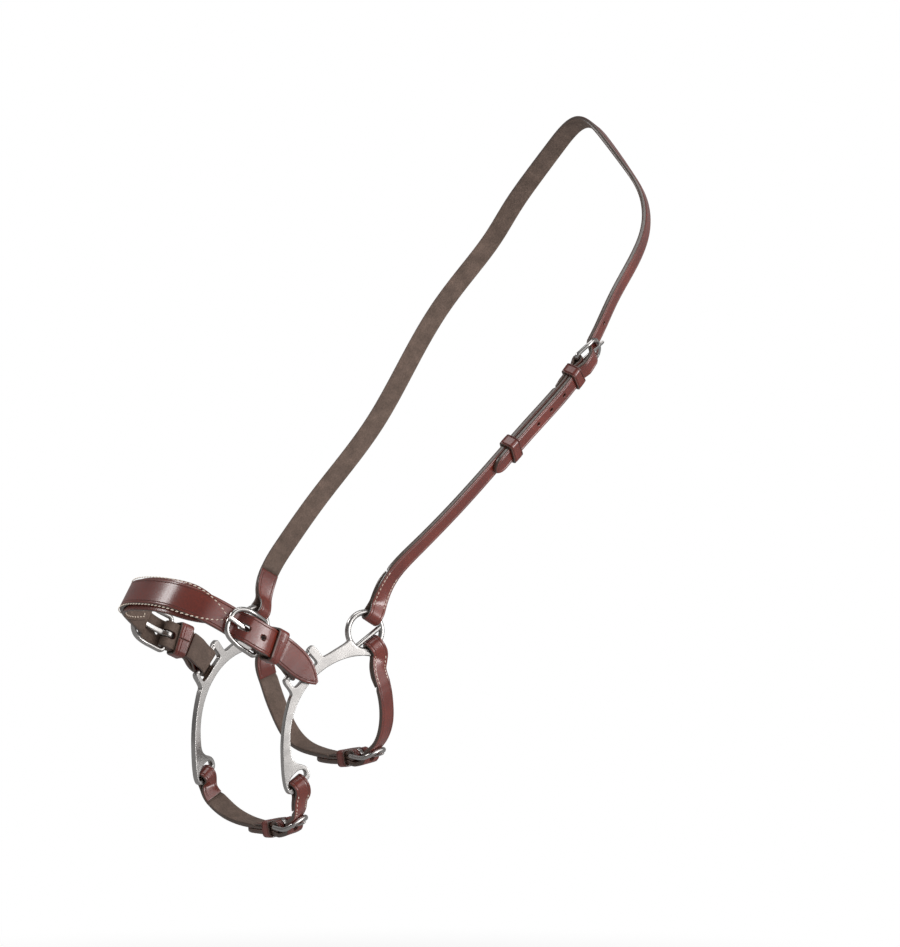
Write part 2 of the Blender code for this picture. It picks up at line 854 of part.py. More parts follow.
NOSE_TIP_AT = -15.5
EYE_FOLD = 3.3 + SKIVED / 2


def joined(*pieces):
    side = []
    for piece in pieces:
        side += piece
    return side


def main_run(start, end, first, last, size=20.0):
    """The full-thickness run between two folds; first and last are the fold laps."""
    marks = []
    stations = set()
    if first is not None:
        marks += [(start + first + 0.3, LEVEL, SKIVED),
                  (start + first + LAP_STEP, CENTRE, STRAP_THICK)]
        stations |= set(steps(start + 14.0, start + first + 0.3, size))
        stations |= {start + first + LAP_STEP / 2, start + first + LAP_STEP}
    if last is not None:
        marks += [(end - last - 0.3, LEVEL, SKIVED),
                  (end - last - LAP_STEP, CENTRE, STRAP_THICK)]
        stations |= set(steps(end - 14.0, end - last - 0.3, size))
        stations |= {end - last - LAP_STEP / 2, end - last - LAP_STEP}
    low = start + (first + LAP_STEP if first is not None else 0.0)
    high = end - (last + LAP_STEP if last is not None else 0.0)
    if high > low:
        stations |= set(steps(low, high, size))
    return profile(marks, sorted(stations))


def buckle_stations(buckle):
    spots = [-x for x in steps(buckle.fold_radius * 2.5, 0.0, 3.0)] + [-12.0]
    spots += [buckle.frame - x for x in (buckle.dive[0] + 3.0, *steps(*buckle.dive, 2.2), 0.0)]
    return [buckle.s + buckle.way * spot for spot in spots]


def billet_run(buckle, tip, far, extra):
    """Stations and levels of a billet from its tip, through a buckle, to `far`."""
    stations = set(steps(tip, far, 20.0)) | set(buckle_stations(buckle))
    for spot in (1.2, 3.0, 5.5, 10.0):
        stations.add(tip + spot)
    stations = sorted(s for s in stations if tip <= s <= far)
    return profile(buckle.marks() + extra, stations)


def cheek_side():
    """The headpiece, the cheek strap, their buckle and their two keepers."""
    cheek = Buckle(HEAD, CHEEK_BUCKLE_AT, 1, STRAP_WIDTH, CHEEK_BILLET_THICK, SMALL_WIRE,
                   SMALL_FRAME, SMALL_TONGUE)
    side = billet_run(cheek, CHEEK_TIP_AT, HEAD.length - RING_LAP - 9.0,
                      [(CHEEK_TIP_AT, cheek.rest, CHEEK_BILLET_THICK),
                       (cheek.s + cheek.frame + 22.0, CENTRE, STRAP_THICK)])
    ring_end = main_run(HEAD.length - RING_LAP - 9.0, HEAD.length, None, RING_LAP)
    side = tidy(joined(side, ring_end, reversed(fold(HEAD.length, -1, RING_FOLD, RING_LAP))))
    holes = [cheek.billet_hole(side)]
    for x in CHEEK_HOLES:
        holes.append((run_at(side, cheek.s + x, False), HOLE, HOLE))
    half = waisted(STRAP_WIDTH, FOLD_WIDTH, [turn_over(side, HEAD.length)])
    half = pointed(half, STRAP_WIDTH, TIP_LENGTH, TIP_BLUNT, False, True)
    strap("headpiece_strap", HEAD, side, half, holes)

    lower = tidy(joined(
        fold(0.0, 1, RING_FOLD, RING_LAP),
        main_run(0.0, cheek.s, RING_LAP, BUCKLE_LAP),
        reversed(fold(cheek.s, -1, cheek.fold_radius, BUCKLE_LAP)),
    ))
    half = waisted(STRAP_WIDTH, FOLD_WIDTH, [turn_over(lower, 0.0)])
    strap("left_cheek_strap", HEAD, lower, half, [cheek.fold_slot(lower)])
    cheek.build_frame("cheek_buckle_frame")
    cheek.build_tongue("cheek_buckle_tongue")
    half_w = STRAP_WIDTH / 2 + LAYER_GAP
    high = cheek.rest + CHEEK_BILLET_THICK / 2 + LAYER_GAP
    keeper("cheek_upper_keeper", HEAD, cheek.s - KEEPER_FROM_BAR, half_w,
           -TOP - LAYER_GAP, high, KEEPER_WIDTH)
    keeper("cheek_lower_keeper", HEAD, RUNNER_AT, half_w + 0.2,
           CENTRE - STRAP_THICK / 2 - LAYER_GAP, high + 0.1, KEEPER_WIDTH + 1.0,
           HEAD.put(RUNNER_AT, 0, 0))


def nose_side():
    """The nose strap and its lining, and on each side a chape, buckle and keeper."""
    near = Buckle(NOSE, NOSE_BUCKLE_AT, 1, NOSE_BILLET_WIDTH, NOSE_THICK, LARGE_WIRE, LARGE_FRAME,
                  LARGE_TONGUE)
    off = Buckle(NOSE, NOSE.length - NOSE_BUCKLE_AT, -1, NOSE_BILLET_WIDTH, NOSE_THICK, LARGE_WIRE,
                 LARGE_FRAME, LARGE_TONGUE)
    length = NOSE.length
    over_bar = NOSE_BAR_FOLD + SKIVED / 2 + SEAT_GAP + NOSE_THICK / 2
    marks = near.marks() + off.marks()
    for mirrored in (False, True):
        for s, t in ((NOSE_TIP_AT, over_bar - 1.4), (-6.0, over_bar), (2.0, over_bar),
                     (10.0, near.rest)):
            marks.append((length - s if mirrored else s, t, NOSE_THICK))
    lining_from = NOSE_BUCKLE_AT + LARGE_FRAME - 2.4
    spots = set(steps(lining_from, length - lining_from, 10.0))
    for spot in (1.2, 4.0, 9.0, 17.0):
        spots |= {lining_from + spot, length - lining_from - spot}
    stations = set(spots)
    for end in steps(NOSE_TIP_AT, lining_from, 10.0):
        stations |= {end, length - end}
    stations |= set(buckle_stations(near)) | set(buckle_stations(off))
    for spot in (1.2, 3.0, 6.0, 10.0, 14.0, 26.5, 30.0, 33.5, 37.0):
        stations |= {NOSE_TIP_AT + spot, length - NOSE_TIP_AT - spot}
    side = tidy(profile(marks, sorted(stations)))
    first = near.billet_hole(side)
    last = off.billet_hole(side)
    holes = [
        first,
        last,
        (first[0] - NOSE_PITCH, NOSE_HOLE, NOSE_HOLE),
        (last[0] + NOSE_PITCH, NOSE_HOLE, NOSE_HOLE),
    ]
    widen = run_at(side, NOSE_BUCKLE_AT + LARGE_FRAME, False)

    def half(u, whole):
        near_end = min(u, whole - u)
        wide = smooth((near_end - widen - 2.0) / NOSE_WIDENING)
        return (NOSE_BILLET_WIDTH + (NOSE_WIDTH - NOSE_BILLET_WIDTH) * wide) / 2

    half = pointed(half, NOSE_BILLET_WIDTH, NOSE_TIP_LENGTH, NOSE_TIP_BLUNT, True, True)
    strap("nose_strap", NOSE, side, half, holes, RING_AXIS)

    level = CENTRE - NOSE_THICK / 2 - LAYER_GAP - LINING_THICK / 2
    lining = [(s, level, LINING_THICK) for s in sorted(spots)]
    half = pointed(straight(NOSE_WIDTH), NOSE_WIDTH, LINING_TIP_LENGTH, LINING_TIP_BLUNT,
                   True, True)
    strap("nose_lining", NOSE, lining, half, (), RING_AXIS)

    for hand, buckle in (("left", near), ("right", off)):
        way = buckle.way
        pin = 0.0 if way > 0 else length
        middle = NOSE_BUCKLE_AT / 2
        around = fold(pin, way, NOSE_BAR_FOLD, middle - 0.4)
        back = list(reversed(fold(buckle.s, -way, buckle.fold_radius, middle - 0.4)))
        spans = steps(NOSE_BAR_FOLD * 2.5 + 3.0, NOSE_BUCKLE_AT - buckle.fold_radius * 2.5 - 3.0, 3.0)
        chape = tidy(joined(around, [(pin + way * x, LEVEL, SKIVED) for x in spans], back))
        strap("nose_chape_" + hand, NOSE, chape, straight(NOSE_BILLET_WIDTH - SIDE_GAP),
              [buckle.fold_slot(chape)], RING_AXIS)
        buckle.build_frame("nose_buckle_frame_" + hand, RING_AXIS)
        buckle.build_tongue("nose_buckle_tongue_" + hand)
        keeper("nose_keeper_" + hand, NOSE, pin + way * NOSE_KEEPER_AT,
               NOSE_BILLET_WIDTH / 2 + RIM_GAP, -TOP - RIM_GAP,
               buckle.rest + NOSE_THICK / 2 + RIM_GAP, NOSE_KEEPER_WIDTH, RING_AXIS)


def under_side(name, route, heel, fold_radius, lap, tip_reach, origin):
    """A two-piece strap under the jaw or chin, with its buckle and keeper."""
    billet = UNDER_BILLET_THICK
    buckle = Buckle(route, heel, -1, STRAP_WIDTH, billet, SMALL_WIRE, SMALL_FRAME, SMALL_TONGUE)
    tip = heel + tip_reach
    start = [(lap + 0.3, LEVEL, SKIVED), (lap + LAP_STEP, CENTRE, billet)]
    end = [(tip, buckle.rest, billet)]
    stations = set(steps(lap + LAP_STEP, tip, 9.0)) | set(buckle_stations(buckle))
    stations |= {lap + 0.3, lap + LAP_STEP / 2}
    for spot in (1.2, 3.0, 5.5, 9.0):
        stations.add(tip - spot)
    stations = sorted(s for s in stations if lap <= s <= tip)
    left = tidy(joined(fold(0.0, 1, fold_radius, lap),
                       profile(start + buckle.marks() + end, stations)))
    hole = buckle.billet_hole(left)
    half = waisted(STRAP_WIDTH, FOLD_WIDTH, [turn_over(left, 0.0)])
    half = pointed(half, STRAP_WIDTH, TIP_LENGTH, TIP_BLUNT)
    strap(name + "_strap_left", route, left, half,
          [hole, (hole[0] + 2 * PITCH, HOLE, HOLE)], origin)

    inner_lap = min(BUCKLE_LAP, (route.length - heel) / 2 - 14.0)
    right = tidy(joined(
        fold(heel, 1, buckle.fold_radius, inner_lap),
        main_run(heel, route.length, inner_lap, lap, 8.0),
        reversed(fold(route.length, -1, fold_radius, lap)),
    ))
    half = waisted(STRAP_WIDTH, FOLD_WIDTH, [turn_over(right, route.length)])
    strap(name + "_strap_right", route, right, half, [buckle.fold_slot(right)], origin)
    buckle.build_frame(name + "_buckle_frame", origin)
    buckle.build_tongue(name + "_buckle_tongue")
    keeper(name + "_keeper", route, heel + KEEPER_FROM_BAR, STRAP_WIDTH / 2 + LAYER_GAP,
           -TOP - LAYER_GAP, buckle.rest + billet / 2 + LAYER_GAP, KEEPER_WIDTH, origin)


JAW_HEEL = JAW.nearest((-216.9, -19.0, -421.5)) - 5.0
CHIN_HEEL = CHIN.nearest((-276.0, -20.5, -463.0))

build_plate("left_cheek_plate", -1)
build_plate("right_cheek_plate", 1)
cheek_side()
nose_side()
under_side("jaw", JAW, JAW_HEEL, RING_FOLD, JAW_LAP, JAW_TIP_REACH, RING_AXIS)
under_side("chin", CHIN, CHIN_HEEL, EYE_FOLD, CHIN_LAP, CHIN_TIP_REACH, EYE_AXIS)
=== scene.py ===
"""Looks of the combination noseband: leather, stitching, steel and the stage around it.

Lengths are in millimetres until a piece is finished, and then become metres.
"""
import json
import math
from functools import cache

import bmesh
import bpy
import numpy as np
from bpy.props import FloatProperty, FloatVectorProperty, IntProperty, PointerProperty
from mathutils import Matrix, Vector

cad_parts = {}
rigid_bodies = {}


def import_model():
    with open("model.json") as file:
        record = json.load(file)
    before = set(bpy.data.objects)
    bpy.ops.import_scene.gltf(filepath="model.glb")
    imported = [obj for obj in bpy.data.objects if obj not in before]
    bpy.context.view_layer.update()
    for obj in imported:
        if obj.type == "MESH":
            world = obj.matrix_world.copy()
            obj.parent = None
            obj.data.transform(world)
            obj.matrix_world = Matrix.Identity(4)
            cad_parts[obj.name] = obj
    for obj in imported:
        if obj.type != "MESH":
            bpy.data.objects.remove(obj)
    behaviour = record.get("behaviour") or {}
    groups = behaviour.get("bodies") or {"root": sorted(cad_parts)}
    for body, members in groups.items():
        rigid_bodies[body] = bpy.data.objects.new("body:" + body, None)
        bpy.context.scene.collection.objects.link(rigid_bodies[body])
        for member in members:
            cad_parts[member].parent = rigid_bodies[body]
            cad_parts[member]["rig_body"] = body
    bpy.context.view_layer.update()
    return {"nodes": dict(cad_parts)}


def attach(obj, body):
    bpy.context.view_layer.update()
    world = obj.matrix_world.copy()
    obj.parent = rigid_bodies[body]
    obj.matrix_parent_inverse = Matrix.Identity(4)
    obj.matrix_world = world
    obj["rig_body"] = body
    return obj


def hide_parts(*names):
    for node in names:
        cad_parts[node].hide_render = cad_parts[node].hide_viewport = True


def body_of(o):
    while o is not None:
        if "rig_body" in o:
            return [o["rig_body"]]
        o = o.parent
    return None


bl_info = {
    "name": "Combination noseband",
    "version": (1, 0, 0),
    "blender": (4, 5, 0),
    "location": "3D View > Sidebar > Noseband",
    "description": "A leather noseband with crescent cheek plates, buckles and stitching",
    "category": "Object",
}

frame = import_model()

MM = 0.001

# Widths, thicknesses and tips of the leather, the same as in the frame
STRAP_WIDTH = 13.0
NOSE_BILLET_WIDTH = 18.0
NOSE_WIDTH = 24.0
STRAP_THICK = 3.4
CHEEK_BILLET_THICK = 3.0
UNDER_BILLET_THICK = 2.8
NOSE_THICK = 3.2
LINING_THICK = 1.6
KEEPER_THICK = 1.7
TIP_LENGTH = 9.0
TIP_BLUNT = 1.8
NOSE_TIP_LENGTH = 23.0
NOSE_TIP_BLUNT = 1.2
LINING_TIP_LENGTH = 34.0
LINING_TIP_BLUNT = 1.0
NOSE_WIDENING = 30.0
KEEPER_WIDTH = 7.5
NOSE_KEEPER_WIDTH = 8.6
# Folds: width there, and the length over which a strap narrows to it
FOLD_WIDTH = 10.4
WAIST = 24.0
WAIST_FLAT = 5.0
# Laps: thickness, the thin end, and their lengths
SKIVED = 1.9
LAP_END = 0.9
SKIVE_LENGTH = 6.0
LAP_STEP = 2.5
RING_LAP = 28.0
UNDER_LAP = 26.0
CHIN_LAP = 16.0
BUCKLE_LAP = 25.0
# Clearances between layers, from leather to steel, and along a strap beside a lap or fold
LAYER_GAP = 0.3
SEAT_GAP = 0.35
RIM_GAP = 0.5
SIDE_GAP = 0.9
TONGUE_GAP = 0.3
SLACK = 0.8
LAP_CLEAR = 0.3
FOLD_CLEAR = 1.0
RING_CLEAR = 12.0
BUCKLE_CLEAR = 9.0
# Plates
PLATE_THICK = 4.0
PLATE_EDGE = 0.6
PLATE_YAW = math.radians(10.8)
RING = Vector((-240.0, -58.0, -340.0))
RING_RADIUS = 12.1
RING_WIRE = 1.9
NOSE_BAR = 1.9
NOSE_BAR_LENGTH = 25.0
DIVIDER = 1.6
DIVIDER_TURNS = (-123, 14)
CRESCENT_CENTRE = (-2.0, -67.1)
CRESCENT_RADIUS = 51.7
CRESCENT_TURNS = (83.5, 185.2)
# Buckles. The dive is where the billet goes down behind the front bar, and PAST_FRONT how
# far beyond the bar it lies level again. SIDE_RISE is the share of the frame's length over
# which its sides rise, EYE_WALL the wall of a tongue's eye in thicknesses, TONGUE_ROOT the
# prong's level at the eye, and TONGUE_OVER how high over the front bar it ends.
SMALL_WIRE = 1.4
LARGE_WIRE = 1.6
SMALL_FRAME = 18.2
LARGE_FRAME = 27.0
SMALL_TONGUE = 3.0
LARGE_TONGUE = 3.6
SMALL_TONGUE_THICK = 1.6
LARGE_TONGUE_THICK = 1.9
SMALL_DIVE = (11.3, 2.7)
LARGE_DIVE = (13.6, 5.0)
PAST_FRONT = 4.0
SIDE_RISE = 0.8
EYE_WALL = 0.85
TONGUE_ROOT = 0.5
TONGUE_OVER = 1.08
# Punched holes, and the room round a tongue in its hole or slot
HOLE = 2.6
PITCH = 13.6
CHEEK_HOLES = (-52.2, -38.6, -25.0, 33.0)
NOSE_HOLE = 3.6
NOSE_PITCH = 13.2
HOLE_ROOM = 1.9
TONGUE_ROOM = 0.9
SLOT_ROOM = 1.0
PASS_ROOM = 1.12
# Places along the straps
RING_FOLD_AT = 11.3
KEEPER_FROM_BAR = 10.0
NOSE_BUCKLE_AT = 35.0
NOSE_KEEPER_AT = 24.2
NOSE_TIP_AT = -15.5
JAW_TIP = 42.0
CHIN_TIP = 36.0
# Where the stitches begin and end, from the hardware
RING_SEWN = (6.0, 29.0)
JAW_SEWN = (7.0, 25.0)
CHIN_SEWN = (6.0, 21.0)
# Levels and radii that follow. Level 0 is midway between the two skived layers.
LEVEL = (LAYER_GAP + SKIVED) / 2
TOP = LAYER_GAP / 2 + SKIVED
CENTRE = TOP - STRAP_THICK / 2
INNER_LEVEL = -0.5
RIM_REACH = 2.7
EYE_REACH = 3.3
RING_FOLD = RIM_REACH + RIM_GAP + SKIVED / 2
NOSE_BAR_FOLD = NOSE_BAR + SEAT_GAP + SKIVED / 2
EYE_FOLD = EYE_REACH + SKIVED / 2
# Way into a fold, in fold radii, how near the hardware its middle is looked for, and how
# close the stations lie
EASE = 2.5
FOLD_ZONE = 6.0
SKIVE_PACE = 1.5
LAP_PACE = 2.0
FOLD_PACE = 0.9
FOLD_TURN = 10.0
EASED_PACE = 1.2
LEVEL_PACE = 1.5
LEAST_PACE = 0.3
# Flat leather: thickness before it is bent, the rounding by distance from the edge, the
# rows of points across a crease, and how wide a crease and the dark rims are
FLAT_THICK = 3.0
EDGE_BANDS = (0.0, 0.12, 0.35, 0.7, 1.1)
EDGE_ROUND = (0.42, 0.7, 0.9, 0.985, 1.0)
CREASE_ROWS = (-0.4, -0.2, 0.0, 0.2, 0.4, 1.0)
CREASE_HALF = 0.42
CREASE_ROW_HALF = 0.3
ROW_PACE = 1.7
LEAST_ROW = 0.09
OUTLINE_PACE = 0.1
EDGE_RIM = ((0.0, 0.12, 0.45), (1.0, 0.8, 0.0))
HOLE_RIM = ((0.0, 0.3, 0.6), (0.5, 0.2, 0.0))
# Camera: focal length and the photograph's longer side in pixels, and what it looks at
FOCAL_PIXELS = 3900.0
PHOTO_PIXELS = 947.0
SENSOR_WIDTH = 36.0
PHOTO_MIDDLE = Vector((-0.12056, 0.0, -0.2397))


# Routes
class Route:
    """A smooth line over the head, with the outward direction given at each knot."""

    def __init__(self, knots, start, near_only=()):
        points = [Vector(k[0]) for k in knots]
        faces = [Vector(k[1]).normalized() for k in knots]
        for i in reversed(range(len(knots) - 1)):
            if i not in near_only:
                points.append(Vector((points[i].x, -points[i].y, points[i].z)))
                faces.append(Vector((faces[i].x, -faces[i].y, faces[i].z)))
        chord = [0.0]
        for before, after in zip(points, points[1:]):
            chord.append(chord[-1] + (after - before).length)
        fine = np.linspace(0.0, chord[-1], round(chord[-1] / 0.5) + 1)
        end = Vector((-start.x, start.y, -start.z))
        still = Vector((0, 0, 0))
        line = self.through(np.array(chord), np.array(points), fine, start, end)
        face = self.through(np.array(chord), np.array(faces), fine, still, still)
        paces = np.linalg.norm(np.diff(line, axis=0), axis=1)
        self.s = np.concatenate(([0.0], np.cumsum(paces)))
        ahead = np.gradient(line, axis=0)
        ahead /= np.linalg.norm(ahead, axis=1)[:, None]
        face -= (face * ahead).sum(axis=1)[:, None] * ahead
        face /= np.linalg.norm(face, axis=1)[:, None]
        self.line, self.ahead, self.face = line, ahead, face
        self.side = np.cross(face, ahead)
        self.length = float(self.s[-1])

    @staticmethod
    def through(at, values, fine, start, end):
        """Cubic through the knots, with the slope given at both ends."""
        count = len(at)
        gap = np.diff(at)
        system = np.eye(count)
        right = np.zeros((count, 3))
        for i in range(1, count - 1):
            system[i, i - 1:i + 2] = gap[i - 1], 2 * (gap[i - 1] + gap[i]), gap[i]
            rise = (values[i + 1] - values[i]) / gap[i]
            right[i] = 6 * (rise - (values[i] - values[i - 1]) / gap[i - 1])
        system[0, 0:2] = 2 * gap[0], gap[0]
        right[0] = 6 * ((values[1] - values[0]) / gap[0] - np.array(start))
        system[-1, -2:] = gap[-1], 2 * gap[-1]
        right[-1] = 6 * (np.array(end) - (values[-1] - values[-2]) / gap[-1])
        bend = np.linalg.solve(system, right)
        i = np.clip(np.searchsorted(at, fine, side="right") - 1, 0, count - 2)
        g = gap[i][:, None]
        a = ((at[i + 1] - fine) / gap[i])[:, None]
        b = 1 - a
        cubic = ((a**3 - a) * bend[i] + (b**3 - b) * bend[i + 1]) * g**2 / 6
        return a * values[i] + b * values[i + 1] + cubic

    def place(self, s, w, t):
        """Points at length s, w across and t outwards, all arrays."""
        s, w, t = (np.asarray(v, float) for v in (s, w, t))
        inside = np.clip(s, 0.0, self.length)

        def pick(table, unit=True):
            found = np.stack([np.interp(inside, self.s, table[:, k]) for k in range(3)], axis=1)
            return found / np.linalg.norm(found, axis=1)[:, None] if unit else found

        spot = pick(self.line, False) + pick(self.ahead) * (s - inside)[:, None]
        return spot + pick(self.side) * w[:, None] + pick(self.face) * t[:, None]

    def nearest(self, target):
        """Length along the route at its point nearest the target."""
        gaps = np.linalg.norm(self.line - np.array(target), axis=1)
        return float(self.s[int(gaps.argmin())])


def plate_axes(hand):
    """Plate frame: back, up and face directions. hand is -1 on the near side."""
    back = Vector((math.cos(PLATE_YAW), hand * math.sin(PLATE_YAW), 0))
    up = Vector((0, 0, 1))
    return back, up, back.cross(up)


def on_plate(a, b, hand=-1):
    """The point `a` back and `b` up from the ring's centre, in the plate's middle plane."""
    back, up, _ = plate_axes(hand)
    ring = Vector((RING.x, -hand * RING.y, RING.z))
    return ring + back * a + up * b


def polar(radius, degrees):
    turn = math.radians(degrees)
    return radius * math.cos(turn), radius * math.sin(turn)


def square(turn):
    """The direction at `turn` degrees in the near plate."""
    back, up, _ = plate_axes(-1)
    x, y = polar(1.0, turn)
    return back * x + up * y


OUT = tuple(plate_axes(-1)[2])
HEAD_TURN = 60.0
JAW_TURN = -54.5
HEAD_RIM = on_plate(*polar(RING_FOLD_AT, HEAD_TURN))
JAW_RIM = on_plate(*polar(RING_FOLD_AT, JAW_TURN))
NOSE_PIN = (-47.6, -20.6)
NOSE_TURN = 137.5
NOSE_SIT = (NOSE_PIN[0] - 0.68, NOSE_PIN[1] - 0.74)
EYE_PIN = (-47.5, -95.6)
EYE_TURN = 36.5

HEAD = Route(
    [
        (HEAD_RIM, OUT),
        (HEAD_RIM + square(HEAD_TURN) * 4.5, OUT),
        ((-229.3, -61.3, -317.0), (0.04, -0.98, -0.18)),
        ((-224.5, -63.2, -307.0), (0.14, -0.94, -0.30)),
        ((-206.3, -68.4, -287.3), (0.20, -0.89, -0.40)),
        ((-173.1, -75.4, -256.5), (0.21, -0.88, -0.42)),
        ((-119.5, -81.8, -205.8), (0.24, -0.88, -0.42)),
        ((-96.4, -86.2, -182.7), (0.27, -0.89, -0.37)),
        ((-81.7, -88.8, -164.8), (0.33, -0.89, -0.30)),
        ((-70.0, -89.6, -147.7), (0.38, -0.89, -0.26)),
        ((-53.9, -88.4, -123.3), (0.41, -0.87, -0.27)),
        ((-30.9, -84.3, -96.1), (0.47, -0.87, -0.17)),
        ((-15.2, -77.6, -74.0), (0.55, -0.83, 0.02)),
        ((-8.0, -67.0, -54.0), (0.58, -0.74, 0.33)),
        ((-5.2, -49.0, -34.8), (0.52, -0.61, 0.58)),
        ((-3.2, -25.5, -13.4), (0.44, -0.34, 0.83)),
        ((-2.2, 0.0, 1.2), (0.38, 0.0, 0.92)),
    ],
    square(HEAD_TURN),
    near_only=(7, 8, 9),
)
NOSE = Route(
    [
        (on_plate(*NOSE_SIT), OUT),
        (on_plate(*NOSE_SIT) + square(NOSE_TURN) * 13.0, OUT),
        ((-319.6, -49.9, -342.1), (-0.12, -0.99, 0.02)),
        ((-338.5, -46.5, -331.2), (-0.35, -0.92, 0.15)),
        ((-353.5, -39.0, -322.2), (-0.58, -0.74, 0.32)),
        ((-363.3, -26.0, -316.3), (-0.76, -0.42, 0.48)),
        ((-366.6, -11.0, -314.2), (-0.83, -0.16, 0.54)),
        ((-367.2, 0.0, -313.9), (-0.84, 0.0, 0.54)),
    ],
    square(NOSE_TURN),
)
JAW = Route(
    [
        (JAW_RIM, OUT),
        (JAW_RIM + square(JAW_TURN) * 5.5, OUT),
        ((-230.6, -59.7, -362.5), (0.12, -0.99, 0.03)),
        ((-227.3, -60.0, -374.3), (0.22, -0.97, -0.03)),
        ((-223.2, -58.5, -387.2), (0.28, -0.95, -0.13)),
        ((-220.1, -54.4, -399.6), (0.30, -0.86, -0.40)),
        ((-218.3, -47.1, -410.4), (0.32, -0.68, -0.65)),
        ((-217.4, -36.8, -417.2), (0.22, -0.44, -0.87)),
        ((-217.0, -20.0, -421.2), (0.12, -0.20, -0.97)),
        ((-216.4, 0.0, -422.8), (0.08, 0.0, -1.0)),
    ],
    square(JAW_TURN),
)
CHIN = Route(
    [
        (on_plate(*EYE_PIN), OUT),
        ((-284.5, -49.4, -441.4), (-0.05, -0.99, -0.10)),
        ((-283.8, -46.7, -447.0), (0.24, -0.89, -0.36)),
        ((-280.9, -42.4, -452.6), (0.42, -0.72, -0.55)),
        ((-278.6, -35.0, -457.8), (0.34, -0.54, -0.77)),
        ((-276.6, -25.0, -461.8), (0.22, -0.30, -0.93)),
        ((-275.2, -12.0, -464.2), (0.12, -0.12, -0.98)),
        ((-274.6, 0.0, -464.8), (0.08, 0.0, -1.0)),
    ],
    square(EYE_TURN - 90.0),
)
CHEEK_BUCKLE_AT = HEAD.nearest((-83.0, -88.0, -164.8)) - 3.0
RUNNER_AT = HEAD.nearest((-136.4, -81.0, -223.8))
CHEEK_TIP_AT = HEAD.nearest((-149.0, -79.5, -240.0))
JAW_HEEL = JAW.nearest((-216.9, -19.0, -421.5)) - 5.0
CHIN_HEEL = CHIN.nearest((-276.0, -20.5, -463.0))


# Side views of the straps: (s, level, thickness) along each
def smooth(x):
    """Eases from 0 to 1."""
    x = min(max(x, 0.0), 1.0)
    return x * x * (3 - 2 * x)


def steps(start, end, size):
    """Even steps of about the size, with both ends."""
    count = max(1, round(abs(end - start) / size))
    return [start + (end - start) * i / count for i in range(count + 1)]


def fold(at, way, radius, lap):
    """Inside lap, round the hardware at `at`, out to the outer layer."""
    ease = radius * EASE
    skive = max(lap - SKIVE_LENGTH, ease)
    side = []
    for x in steps(lap, skive, SKIVE_PACE)[:-1]:
        thick = LAP_END + (SKIVED - LAP_END) * (lap - x) / (lap - skive)
        side.append((at + way * x, -(LAYER_GAP + thick) / 2, thick))
    if skive > ease:
        side += [(at + way * x, -LEVEL, SKIVED) for x in steps(skive, ease, LAP_PACE)[:-1]]
    for x in steps(ease, 0.0, FOLD_PACE):
        side.append((at + way * x, -LEVEL - (radius - LEVEL) * (1 - smooth(x / ease)), SKIVED))
    for turn in steps(-90.0, 90.0, FOLD_TURN)[1:-1]:
        x, y = polar(radius, turn)
        side.append((at - way * x, y, SKIVED))
    for x in steps(0.0, ease, FOLD_PACE):
        side.append((at + way * x, LEVEL + (radius - LEVEL) * (1 - smooth(x / ease)), SKIVED))
    return side


def past_fold(radius):
    """Length from the hardware to where the layer has left its fold."""
    return radius * EASE + FOLD_CLEAR


def eased(marks, start, end):
    """Level and thickness between the marks (s, level, thickness), from start to end."""
    marks = sorted(marks)
    side = []
    for s in steps(start, end, EASED_PACE):
        after = next((i for i, m in enumerate(marks) if m[0] >= s), len(marks) - 1)
        before = max(after - 1, 0)
        a, b = marks[before], marks[after]
        x = smooth((s - a[0]) / (b[0] - a[0])) if b[0] > a[0] else 1.0
        side.append((s, a[1] + (b[1] - a[1]) * x, a[2] + (b[2] - a[2]) * x))
    return side


def joined(*pieces):
    """The pieces end to end, without stations that fall on the one before."""
    side = []
    for piece in pieces:
        for point in piece:
            if not side or math.dist(point[:2], side[-1][:2]) > LEAST_PACE:
                side.append(point)
    return side


def lengths(side):
    """Length along the strap at each station."""
    run = [0.0]
    for before, after in zip(side, side[1:]):
        run.append(run[-1] + math.dist(before[:2], after[:2]))
    return run


def run_at(side, s, upper=True):
    """Length along the strap where it passes s, on the outer layer."""
    run = lengths(side)
    for i in range(len(side) - 1):
        low, high = side[i], side[i + 1]
        if min(low[0], high[0]) <= s <= max(low[0], high[0]) and low[0] != high[0]:
            if upper and (low[1] + high[1]) / 2 < INNER_LEVEL:
                continue
            x = (s - low[0]) / (high[0] - low[0])
            return run[i] + (run[i + 1] - run[i]) * x
    raise ValueError("the strap does not pass here")


def turn_over(side, hardware):
    """Length along the strap at the middle of its fold round the hardware."""
    run = lengths(side)
    near = [i for i, p in enumerate(side) if abs(p[0] - hardware) < FOLD_ZONE]
    near.sort(key=lambda i: abs(side[i][1]))
    return (run[near[0]] + run[near[1]]) / 2


def full_run(start, end, first, last, from_bar, to_bar):
    """The full-thickness run between two folds with the laps `first` and `last`."""
    marks = []
    if first is not None:
        marks += [(start + first + LAP_CLEAR, LEVEL, SKIVED),
                  (start + first + LAP_STEP, CENTRE, STRAP_THICK)]
    if last is not None:
        marks += [(end - last - LAP_CLEAR, LEVEL, SKIVED),
                  (end - last - LAP_STEP, CENTRE, STRAP_THICK)]
    return eased(marks, start + from_bar, end - to_bar)


# Half widths: functions of the length u along a strap and of its total length
def straight(width):
    return lambda u, total: width / 2


def waisted(at):
    """Strap width, eased to the fold width round the fold at `at`."""

    def half(u, total):
        value = smooth((abs(u - at) - WAIST_FLAT) / WAIST)
        return (FOLD_WIDTH + (STRAP_WIDTH - FOLD_WIDTH) * value) / 2

    return half


